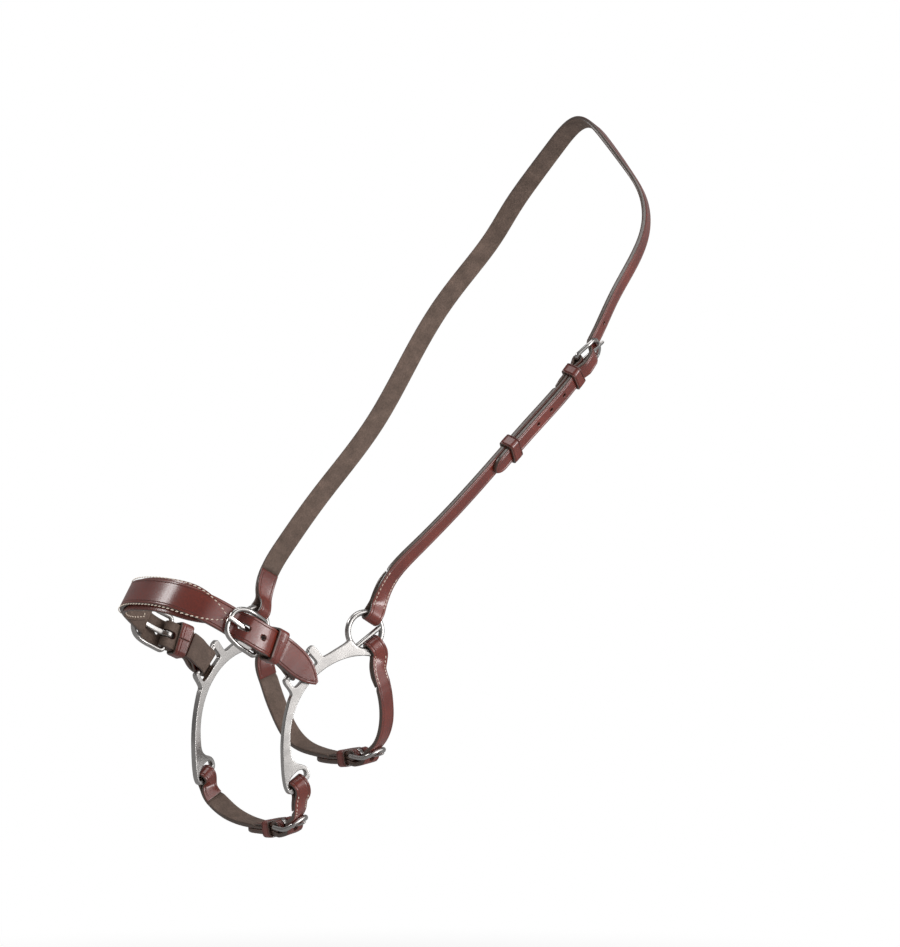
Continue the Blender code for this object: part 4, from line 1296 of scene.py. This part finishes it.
def solid_outline(name, loops, depth, edge, segments=3):
    """Closed outlines filled and thickened, with rounded edges."""
    data = bpy.data.curves.new(name, "CURVE")
    data.dimensions = "2D"
    data.fill_mode = "BOTH"
    data.extrude = depth / 2 - edge
    data.bevel_depth = edge
    data.bevel_resolution = segments - 1
    data.offset = -edge
    for loop in loops:
        closed_line(data, [(x, y, 0.0) for x, y in loop])
    item = as_mesh(name, data)
    weld = item.modifiers.new("weld", "WELD")
    weld.merge_threshold = 0.0001
    apply_all(item)
    return item


# A buckle wire's corners in wire radii, where its front begins, how square the front is,
# and how much the wire swells there
WIRE_CORNER = 1.8
FRONT_FROM = 0.42
FRONT_POWER = 0.72
FRONT_SWELL = 0.1


def wire_frame(buckle, node_name):
    """The buckle's wire: heel bar, two sides that rise, and a squarish front."""
    corner = buckle.wire * WIRE_CORNER
    mid = buckle.frame * FRONT_FROM
    one = [(0.0, (buckle.half - corner) * 0.5)]
    for turn in steps(0.0, 90.0, 9.0):
        x, w = polar(corner, turn)
        one.append((corner - x, buckle.half - corner + w))
    for turn in steps(0.0, 87.0, 4.0):
        x, w = polar(1.0, 90 - turn)
        one.append((mid + (buckle.frame - mid) * x**FRONT_POWER, buckle.half * w**FRONT_POWER))
    places = one + [(buckle.frame, 0.0)] + [(x, -w) for x, w in reversed(one)]
    table = np.array(places)
    lift = [buckle.lift(x) for x in table[:, 0]]
    spots = buckle.route.place(buckle.s + buckle.way * table[:, 0], table[:, 1], lift)
    data = bpy.data.curves.new(node_name, "CURVE")
    data.dimensions = "3D"
    data.bevel_depth = buckle.wire
    data.bevel_resolution = bpy.context.scene.noseband_steel.wire_sides
    for point, (x, _) in zip(closed_line(data, spots).points, places):
        point.radius = 1.0 + FRONT_SWELL * smooth((x / buckle.frame - 0.6) / 0.4)
    item = as_mesh(node_name, data)
    set_coordinates(item.data, coordinates(item.data) * MM)
    return finish(item, node_name + "_wire", node_name, [wire_steel()], [node_name], 60.0)


# How far a prong lies over the front bar, how much it tapers, and its rounded edge
PRONG_BEYOND = 0.8
PRONG_TAPER = 0.28
PRONG_EDGE = 0.5
PRONG_PACE = 1.2


def prong(buckle, node_name):
    """The tongue: an eye round the heel bar and a tapering prong over the front bar."""
    thick = buckle.tongue_thick / 2
    outer = buckle.root
    reach = buckle.frame + buckle.wire + PRONG_BEYOND
    hole = [polar(buckle.wire + TONGUE_GAP, 360 * k / 32) for k in range(32)]
    ring = [polar(outer, turn) for turn in steps(44.0, 346.0, 9.0)]
    lower, upper = (
        [(x, buckle.tongue_line(x) + way * thick) for x in steps(outer + 1.0, end, PRONG_PACE)]
        for way, end in ((-1, reach - 0.5), (1, reach - 0.9)))
    nose = [(reach, buckle.tongue_line(reach) - thick * 0.4),
            (reach - 0.1, buckle.tongue_line(reach) + thick * 0.5)]
    item = solid_outline(node_name, [ring + lower + nose + upper[::-1], hole], buckle.tongue,
                         PRONG_EDGE)
    table = coordinates(item.data)
    narrow = 1.0 - PRONG_TAPER * np.clip((table[:, 0] - outer) / (reach - outer), 0, 1)
    s = buckle.s + buckle.way * table[:, 0]
    placed = buckle.route.place(s, -buckle.way * table[:, 2] * narrow, table[:, 1])
    set_coordinates(item.data, placed * MM)
    return finish(item, node_name + "_prong", node_name, [wire_steel()], [node_name], 40.0)


def arc(centre, radius, start, end, count):
    turns = [start + (end - start) * k / count for k in range(count + 1)]
    return [(centre[0] + x, centre[1] + y) for x, y in (polar(radius, t) for t in turns)]


def plate_outline():
    """Crescent, nose-bar horns and chin eye, in the plate's plane from the ring centre."""
    inner = arc(CRESCENT_CENTRE, CRESCENT_RADIUS, *CRESCENT_TURNS, 20)
    eye = [
        (-52.8, -77.2), (-51.3, -80.3), (-48.7, -82.1), (-45.6, -82.9), (-42.9, -84.0),
        (-41.0, -86.0), (-40.0, -88.6), (-40.2, -91.0), (-41.8, -93.0), (-46.0, -96.8),
        (-50.4, -100.6), (-52.6, -101.6), (-55.0, -100.6), (-56.8, -97.6), (-57.8, -93.5),
        (-58.6, -87.5),
    ]
    front = [
        (-59.1, -78.5), (-59.2, -70.0), (-58.4, -60.0), (-56.6, -50.5), (-54.2, -42.2),
        (-52.8, -38.8), (-54.2, -36.0), (-57.2, -32.2), (-57.8, -29.8), (-56.6, -28.7),
        (-54.6, -29.6), (-53.0, -32.2), (-51.2, -34.0), (-49.0, -33.6), (-45.4, -30.0),
        (-41.2, -25.4), (-36.6, -21.0), (-35.2, -18.6), (-39.9, -13.6), (-41.2, -11.0),
        (-38.4, -8.4), (-36.4, -8.9), (-31.0, -14.6), (-28.6, -14.9), (-22.0, -11.6),
        (-14.6, -7.6), (-10.5, -5.0),
    ]
    return inner + eye + front + [(-8.0, -9.2), (0.0, -12.2), (3.0, -12.6)]


def eye_outline():
    """The slot of the chin eye, in the same plane."""
    return [
        (-53.5, -98.3), (-48.5, -94.4), (-43.4, -90.3), (-42.8, -88.8), (-43.4, -87.1),
        (-45.0, -86.2), (-48.0, -86.7), (-51.4, -89.2), (-54.2, -92.8), (-55.2, -96.2),
        (-54.6, -98.1),
    ]


def rod(start, end, radius):
    """A round bar in the plate's plane."""
    start, end = Vector((*start, 0.0)), Vector((*end, 0.0))
    ahead = end - start
    start_clear()
    bpy.ops.mesh.primitive_cone_add(
        vertices=32, radius1=radius, radius2=radius, depth=ahead.length)
    item = bpy.context.object
    turn = ahead.to_track_quat("Z", "Y").to_matrix().to_4x4()
    item.data.transform(Matrix.Translation((start + end) / 2) @ turn)
    return item


def cast_plate(node_name, hand):
    """The cheek plate as one casting: outline, ring, nose bar and divider run together."""
    body = solid_outline(node_name, [refine(plate_outline(), 4), refine(eye_outline(), 5)],
                         PLATE_THICK, PLATE_EDGE, 5)
    start_clear()
    bpy.ops.mesh.primitive_cylinder_add(
        vertices=96, radius=RING_RADIUS - RING_WIRE * 0.6, depth=12)
    combine(body, bpy.context.object, "DIFFERENCE")
    start_clear()
    bpy.ops.mesh.primitive_torus_add(
        major_radius=RING_RADIUS, minor_radius=RING_WIRE, major_segments=96, minor_segments=28)
    parts = [bpy.context.object]
    along = polar(NOSE_BAR_LENGTH / 2, NOSE_TURN - 90.0)
    parts.append(rod((NOSE_PIN[0] - along[0], NOSE_PIN[1] - along[1]),
                     (NOSE_PIN[0] + along[0], NOSE_PIN[1] + along[1]), NOSE_BAR))
    parts.append(rod(*(polar(RING_RADIUS - 0.4, turn) for turn in DIVIDER_TURNS), DIVIDER))
    for part in parts:
        combine(body, part, "UNION")
    only(body)
    bpy.ops.object.shade_smooth_by_angle(angle=math.radians(28.0))
    weigh = body.modifiers.new("flat faces", "WEIGHTED_NORMAL")
    weigh.keep_sharp = True
    apply_all(body)
    back, up, face = plate_axes(hand)
    place = Matrix((back, up, face)).transposed().to_4x4()
    place.translation = on_plate(0.0, 0.0, hand)
    body.data.transform(Matrix.Scale(MM, 4) @ place)
    return finish(body, node_name + "_casting", node_name,
                  [polished_steel("stainless_steel_casting", 0.32)], [node_name], None)


# Side views of the pieces
def headpiece_side():
    """From the billet tip through the cheek buckle to the fold round the off-side ring."""
    far = HEAD.length - RING_LAP - 9.0
    marks = CHEEK.marks() + [
        (CHEEK_TIP_AT, CHEEK.rest, CHEEK_BILLET_THICK),
        (CHEEK.s + CHEEK.frame + 22.0, CENTRE, STRAP_THICK),
    ]
    return joined(
        eased(marks, CHEEK_TIP_AT, far),
        full_run(far, HEAD.length, None, RING_LAP, 0.0, RING_CLEAR),
        reversed(fold(HEAD.length, -1, RING_FOLD, RING_LAP)),
    )


def cheek_side():
    """From the fold round the near ring to the fold round the cheek buckle."""
    return joined(
        fold(0.0, 1, RING_FOLD, RING_LAP),
        full_run(0.0, CHEEK.s, RING_LAP, BUCKLE_LAP, RING_CLEAR, BUCKLE_CLEAR),
        reversed(fold(CHEEK.s, -1, CHEEK.fold_radius, BUCKLE_LAP)),
    )


def nose_side():
    """From tip to tip, over both nose bars and through both nose buckles."""
    over_bar = NOSE_BAR_FOLD + SKIVED / 2 + SEAT_GAP + NOSE_THICK / 2
    marks = NEAR.marks() + OFF.marks()
    for s, t in ((NOSE_TIP_AT, over_bar - 1.4), (-1.5, over_bar), (0.5, over_bar),
                 (17.0, NEAR.rest)):
        marks += [(s, t, NOSE_THICK), (NOSE.length - s, t, NOSE_THICK)]
    return eased(marks, NOSE_TIP_AT, NOSE.length - NOSE_TIP_AT)


def chape_side(buckle):
    """From the fold round the nose bar to the fold round the buckle, lap end to lap end."""
    way = buckle.way
    pin = 0.0 if way > 0 else NOSE.length
    reach = NOSE_BUCKLE_AT / 2 - 0.4
    spans = steps(past_fold(NOSE_BAR_FOLD), NOSE_BUCKLE_AT - past_fold(buckle.fold_radius),
                  LEVEL_PACE)
    return joined(
        fold(pin, way, NOSE_BAR_FOLD, reach),
        [(pin + way * x, LEVEL, SKIVED) for x in spans],
        reversed(fold(buckle.s, -way, buckle.fold_radius, reach)),
    )


def under_sides(buckle, route, fold_radius, lap, tip_reach):
    """Side views of the billet half and the buckle half of a strap below."""
    tip = buckle.s + tip_reach
    marks = [(lap + LAP_CLEAR, LEVEL, SKIVED), (lap + LAP_STEP, CENTRE, buckle.billet)]
    marks += buckle.marks() + [(tip, buckle.rest, buckle.billet)]
    billet = joined(fold(0.0, 1, fold_radius, lap), eased(marks, past_fold(fold_radius), tip))
    inner = min(BUCKLE_LAP, (route.length - buckle.s) / 2 - 14.0)
    holder = joined(
        fold(buckle.s, 1, buckle.fold_radius, inner),
        full_run(buckle.s, route.length, inner, lap, past_fold(buckle.fold_radius),
                 past_fold(fold_radius)),
        reversed(fold(route.length, -1, fold_radius, lap)),
    )
    return billet, holder


# Operators, one for each piece or group of like pieces
class PieceOperator(bpy.types.Operator):
    bl_options = {"REGISTER", "UNDO"}


class NOSEBAND_OT_headpiece(PieceOperator):
    """Builds the headpiece strap over the poll, with its billet through the cheek buckle"""

    bl_idname = "noseband.headpiece"
    bl_label = "Headpiece strap"

    def execute(self, context):
        side = headpiece_side()
        holes = [CHEEK.billet_hole(side)]
        for x in CHEEK_HOLES:
            holes.append((run_at(side, CHEEK.s + x, False), HOLE, HOLE))
        half = pointed(waisted(turn_over(side, HEAD.length)), STRAP_WIDTH, TIP_LENGTH, TIP_BLUNT,
                       False, True)
        strap("headpiece_strap", HEAD, side, half, holes, (True, False))
        stitch_fold("headpiece_stitching", "headpiece_strap", HEAD, side, half,
                    HEAD.length - RING_SEWN[0], HEAD.length - RING_SEWN[1])
        return {"FINISHED"}


class NOSEBAND_OT_cheek_strap(PieceOperator):
    """Builds the cheek strap from the ring to the cheek buckle, with its stitching"""

    bl_idname = "noseband.cheek_strap"
    bl_label = "Cheek strap"

    def execute(self, context):
        side = cheek_side()
        half = waisted(turn_over(side, 0.0))
        strap("left_cheek_strap", HEAD, side, half, [CHEEK.fold_slot(side)])
        stitch_fold("left_cheek_stitching", "left_cheek_strap", HEAD, side, half, *RING_SEWN)
        return {"FINISHED"}


def lining_half():
    return pointed(straight(NOSE_WIDTH), NOSE_WIDTH, LINING_TIP_LENGTH, LINING_TIP_BLUNT,
                   True, True)


class NOSEBAND_OT_nose_strap(PieceOperator):
    """Builds the nose strap, its stitched lining and the two chapes"""

    bl_idname = "noseband.nose_strap"
    bl_label = "Nose strap"

    def execute(self, context):
        side = nose_side()
        first, last = NEAR.billet_hole(side), OFF.billet_hole(side)
        holes = [first, last, (first[0] - NOSE_PITCH, NOSE_HOLE, NOSE_HOLE),
                 (last[0] + NOSE_PITCH, NOSE_HOLE, NOSE_HOLE)]
        widen = run_at(side, NOSE_BUCKLE_AT + LARGE_FRAME, False)

        def base(u, whole):
            wide = smooth((min(u, whole - u) - widen - 2.0) / NOSE_WIDENING)
            return (NOSE_BILLET_WIDTH + (NOSE_WIDTH - NOSE_BILLET_WIDTH) * wide) / 2

        half = pointed(base, NOSE_BILLET_WIDTH, NOSE_TIP_LENGTH, NOSE_TIP_BLUNT, True, True)
        strap("nose_strap", NOSE, side, half, holes, (True, True))
        level = CENTRE - NOSE_THICK / 2 - LAYER_GAP - LINING_THICK / 2
        ends = (LINING_FROM, NOSE.length - LINING_FROM)
        lining = [(s, level, LINING_THICK) for s in steps(*ends, LEVEL_PACE)]
        strap("nose_lining", NOSE, lining, lining_half(), (), (True, True), False)
        for hand, buckle in (("left", NEAR), ("right", OFF)):
            chape = chape_side(buckle)
            strap("nose_chape_" + hand, NOSE, chape, straight(NOSE_BILLET_WIDTH - SIDE_GAP),
                  [buckle.fold_slot(chape)])
        return {"FINISHED"}


class NOSEBAND_OT_nose_stitching(PieceOperator):
    """Sews the lining to the nose strap: a row along each edge, meeting in a point"""

    bl_idname = "noseband.nose_stitching"
    bl_label = "Nose stitching"

    def execute(self, context):
        look = context.scene.noseband_stitching
        inset = context.scene.noseband_leather.crease_inset / MM + NOSE_INSET
        total = NOSE.length - 2 * LINING_FROM
        cut = Cut(total, lining_half(), True, True)
        row = [(u + LINING_FROM, max(cut.inside(u, inset), 0.0))
               for u in np.arange(inset, total - inset, NOSE_ROW_PACE)]
        pitch = look.nose_pitch / MM
        rows = [(row, pitch), ([(s, -w) for s, w in row], pitch)]
        top = CENTRE + NOSE_THICK / 2 - NOSE_DEEP
        under = CENTRE - NOSE_THICK / 2 - LAYER_GAP - LINING_THICK + NOSE_DEEP

        def front(table):
            return NOSE.place(table[:, 0], table[:, 1], top + table[:, 2]) * MM

        def behind(table):
            return NOSE.place(table[:, 0], table[:, 1], under - table[:, 2]) * MM

        thread = look.thread / MM
        stitches("nose_stitching", "nose_strap", rows, front, thread, NOSE_STITCH)
        inner = stitches("nose_stitching_inside", "nose_lining", rows, behind, thread,
                         NOSE_STITCH)
        inner.data.flip_normals()
        return {"FINISHED"}


class NOSEBAND_OT_under_straps(PieceOperator):
    """Builds the jaw strap and the chin strap, with their stitching"""

    bl_idname = "noseband.under_straps"
    bl_label = "Jaw and chin straps"

    def execute(self, context):
        for name, buckle, route, radius, lap, reach, sewn in (
            ("jaw", UNDER_JAW, JAW, RING_FOLD, UNDER_LAP, JAW_TIP, JAW_SEWN),
            ("chin", UNDER_CHIN, CHIN, EYE_FOLD, CHIN_LAP, CHIN_TIP, CHIN_SEWN),
        ):
            billet, holder = under_sides(buckle, route, radius, lap, reach)
            hole = buckle.billet_hole(billet)
            half = pointed(waisted(turn_over(billet, 0.0)), STRAP_WIDTH, TIP_LENGTH, TIP_BLUNT)
            strap(name + "_strap_left", route, billet, half,
                  [hole, (hole[0] + 2 * PITCH, HOLE, HOLE)], (False, True))
            stitch_fold(name + "_stitching_left", name + "_strap_left", route, billet, half, *sewn)
            half = waisted(turn_over(holder, route.length))
            strap(name + "_strap_right", route, holder, half, [buckle.fold_slot(holder)])
            stitch_fold(name + "_stitching_right", name + "_strap_right", route, holder, half,
                        route.length - sewn[0], route.length - sewn[1])
        return {"FINISHED"}


class NOSEBAND_OT_keepers(PieceOperator):
    """Builds the leather keepers that hold the billets down"""

    bl_idname = "noseband.keepers"
    bl_label = "Keepers"

    def execute(self, context):
        half_w = STRAP_WIDTH / 2 + LAYER_GAP
        high = CHEEK.rest + CHEEK_BILLET_THICK / 2 + LAYER_GAP
        keeper("cheek_upper_keeper", HEAD, CHEEK.s - KEEPER_FROM_BAR, half_w,
               -TOP - LAYER_GAP, high, KEEPER_WIDTH)
        keeper("cheek_lower_keeper", HEAD, RUNNER_AT, half_w + 0.2,
               CENTRE - STRAP_THICK / 2 - LAYER_GAP, high + 0.1, KEEPER_WIDTH + 1.0)
        for hand, pin, buckle in (("left", 0.0, NEAR), ("right", NOSE.length, OFF)):
            lines = [buckle.way * x for x in NOSE_KEEPER_LINES]
            keeper("nose_keeper_" + hand, NOSE, pin + buckle.way * NOSE_KEEPER_AT,
                   NOSE_BILLET_WIDTH / 2 + RIM_GAP, -TOP - RIM_GAP,
                   buckle.rest + NOSE_THICK / 2 + RIM_GAP, NOSE_KEEPER_WIDTH, lines)
        for name, buckle in (("jaw_keeper", UNDER_JAW), ("chin_keeper", UNDER_CHIN)):
            keeper(name, buckle.route, buckle.s + KEEPER_FROM_BAR, half_w, -TOP - LAYER_GAP,
                   buckle.rest + buckle.billet / 2 + LAYER_GAP, KEEPER_WIDTH)
        return {"FINISHED"}


class NOSEBAND_OT_buckles(PieceOperator):
    """Builds the buckle frames and their tongues"""

    bl_idname = "noseband.buckles"
    bl_label = "Buckles"

    def execute(self, context):
        for place, hand, buckle in (
            ("cheek", "", CHEEK), ("nose", "_left", NEAR), ("nose", "_right", OFF),
            ("jaw", "", UNDER_JAW), ("chin", "", UNDER_CHIN),
        ):
            wire_frame(buckle, place + "_buckle_frame" + hand)
            prong(buckle, place + "_buckle_tongue" + hand)
        return {"FINISHED"}


class NOSEBAND_OT_plates(PieceOperator):
    """Casts the two crescent cheek plates"""

    bl_idname = "noseband.plates"
    bl_label = "Cheek plates"

    def execute(self, context):
        cast_plate("left_cheek_plate", -1)
        cast_plate("right_cheek_plate", 1)
        return {"FINISHED"}


FLOOR_X = -0.2
FLOOR_RADIUS = 4.0
# Lamps: name, what each is aimed at, its place from there, size in metres, power in watts,
# and whether it shows in reflections. The top lamp's place is set from the camera's.
LAMPS = (
    ("key", (-0.19, 0.0, -0.26), (0.55, -1.76, 0.4), (0.9, 1.3), 17.0, False),
    ("strip", (-0.285, -0.056, -0.355), (0.87, -1.22, -0.05), (0.34, 0.7), 5.6, True),
    ("front", (-0.364, -0.02, -0.316), (-0.62, 0.46, 0.78), (0.36, 0.36), 3.0, True),
    ("top", (-0.19, 0.0, -0.26), None, (1.2, 0.8), 6.0, True),
)


class NOSEBAND_OT_stage(PieceOperator):
    """Sets the floor, the world, the lamps and the camera"""

    bl_idname = "noseband.stage"
    bl_label = "Stage"

    def execute(self, context):
        look = context.scene.noseband_stage
        context.scene.view_settings.view_transform = "Standard"
        start_clear()
        bpy.ops.mesh.primitive_circle_add(vertices=96, radius=FLOOR_RADIUS, fill_type="NGON",
                                          location=(FLOOR_X, 0.0, look.floor_height))
        floor = context.object
        bpy.ops.object.transform_apply(location=True, rotation=True, scale=True)
        floor.name = "floor"
        floor.data.materials.append(floor_paper())
        white_world()
        forward = Vector((math.sin(look.azimuth), math.cos(look.azimuth), 0.0))
        over = Vector((0.0, 0.0, 1.6)) - forward * 0.3
        for name, aim, place, size, power, mirrored in LAMPS:
            place = over if place is None else Vector(place)
            lamp = bpy.data.lights.new(name, "AREA")
            lamp.shape = "RECTANGLE"
            lamp.size, lamp.size_y = size
            lamp.energy = power
            item = linked(name, lamp)
            item.location = Vector(aim) + place
            item.visible_glossy = mirrored
            item.rotation_euler = (-place).to_track_quat("-Z", "Y").to_euler()
        spot = PHOTO_MIDDLE - forward * look.distance
        bpy.ops.object.camera_add(location=spot, rotation=(math.pi / 2, 0.0, -look.azimuth))
        camera = context.object
        camera.data.sensor_width = SENSOR_WIDTH
        camera.data.lens = SENSOR_WIDTH * FOCAL_PIXELS / PHOTO_PIXELS
        camera.data.clip_end = 50.0
        context.scene.camera = camera
        return {"FINISHED"}


def floor_paper():
    """Matt white background paper: it keeps the shadow near the middle and goes white
    farther out for the camera and in reflections."""
    made, tree, shader = new_material("background_paper_white")
    fill(shader, {"Base Color": colour(linear("#f4f4f4")), "Roughness": 0.9})
    place = node(tree, "ShaderNodeTexCoord").outputs["Object"]
    centred = node(tree, "ShaderNodeMapping",
                   {"Vector": place, "Location": (-FLOOR_X, 0.0, 0.62)})
    away = node(tree, "ShaderNodeVectorMath", {0: centred.outputs[0]}, operation="LENGTH")
    fade = remap(tree, away.outputs["Value"], (0.25, 0.75), (0.0, 1.0),
                 interpolation_type="SMOOTHSTEP")
    rays = node(tree, "ShaderNodeLightPath").outputs
    share = reckon(tree, "MULTIPLY", fade, rays["Is Camera Ray"])
    share = reckon(tree, "ADD", share, rays["Is Glossy Ray"], use_clamp=True)
    level = blend(tree, rays["Is Glossy Ray"], 1.0, 0.28)
    white = node(tree, "ShaderNodeEmission", {"Color": (1, 1, 1, 1), "Strength": level})
    both = node(tree, "ShaderNodeMixShader",
                {0: share, 1: shader.outputs[0], 2: white.outputs[0]})
    fill(tree.nodes["Material Output"], {"Surface": both.outputs[0]})
    return made


def white_world():
    """White for the camera; for reflections a white screen beside the camera in a tent of
    grey cloth; a level fill for everything else."""
    world = bpy.data.worlds.new("light_tent")
    bpy.context.scene.world = world
    world.use_nodes = True
    # only rays that reach it count, so each kind of ray sees its own level
    world.cycles.sampling_method = "NONE"
    tree = world.node_tree
    way = node(tree, "ShaderNodeTexCoord").outputs["Generated"]
    toward = facing(tree, way, (0.40, -0.915, 0.05))
    screen = remap(tree, toward, (0.68, 0.9), (0.0, 1.3), interpolation_type="SMOOTHSTEP")
    behind = facing(tree, way, (0.643, 0.766, 0.0))
    cloth = remap(tree, behind, (0.25, 0.8), (0.14, 0.3), interpolation_type="SMOOTHSTEP")
    tent = reckon(tree, "ADD", screen, cloth)
    rays = node(tree, "ShaderNodeLightPath").outputs
    shiny = reckon(tree, "ADD", rays["Is Glossy Ray"], rays["Is Transmission Ray"],
                   use_clamp=True)
    shown = blend(tree, shiny, 0.55, tent)
    level = blend(tree, rays["Is Camera Ray"], shown, 1.0)
    fill(tree.nodes["Background"], {"Color": (1, 1, 1, 1), "Strength": level})


STEPS = ("headpiece", "cheek_strap", "nose_strap", "nose_stitching", "under_straps", "keepers",
         "buckles", "plates", "stage")


class NOSEBAND_PT_build(bpy.types.Panel):
    """Lists the pieces and what can be changed on them"""

    bl_idname = "NOSEBAND_PT_build"
    bl_label = "Noseband"
    bl_space_type = "VIEW_3D"
    bl_region_type = "UI"
    bl_category = "Noseband"

    def draw(self, context):
        column = self.layout.column(align=True)
        for step in STEPS:
            column.operator("noseband." + step)
        for group in ("noseband_leather", "noseband_stitching", "noseband_steel",
                      "noseband_stage"):
            box = self.layout.box()
            values = getattr(context.scene, group)
            for name in values.__annotations__:
                box.prop(values, name)


GROUPS = {
    "noseband_leather": NosebandLeather,
    "noseband_stitching": NosebandStitching,
    "noseband_steel": NosebandSteel,
    "noseband_stage": NosebandStage,
}
CLASSES = (
    *GROUPS.values(), NOSEBAND_OT_headpiece, NOSEBAND_OT_cheek_strap, NOSEBAND_OT_nose_strap,
    NOSEBAND_OT_nose_stitching, NOSEBAND_OT_under_straps, NOSEBAND_OT_keepers,
    NOSEBAND_OT_buckles, NOSEBAND_OT_plates, NOSEBAND_OT_stage, NOSEBAND_PT_build,
)


def register():
    for item in CLASSES:
        bpy.utils.register_class(item)
    for name, group in GROUPS.items():
        setattr(bpy.types.Scene, name, PointerProperty(type=group))


def unregister():
    for name in GROUPS:
        delattr(bpy.types.Scene, name)
    for item in reversed(CLASSES):
        bpy.utils.unregister_class(item)


def main():
    register()
    for step in STEPS:
        getattr(bpy.ops.noseband, step)()


if __name__ == "__main__":
    main()
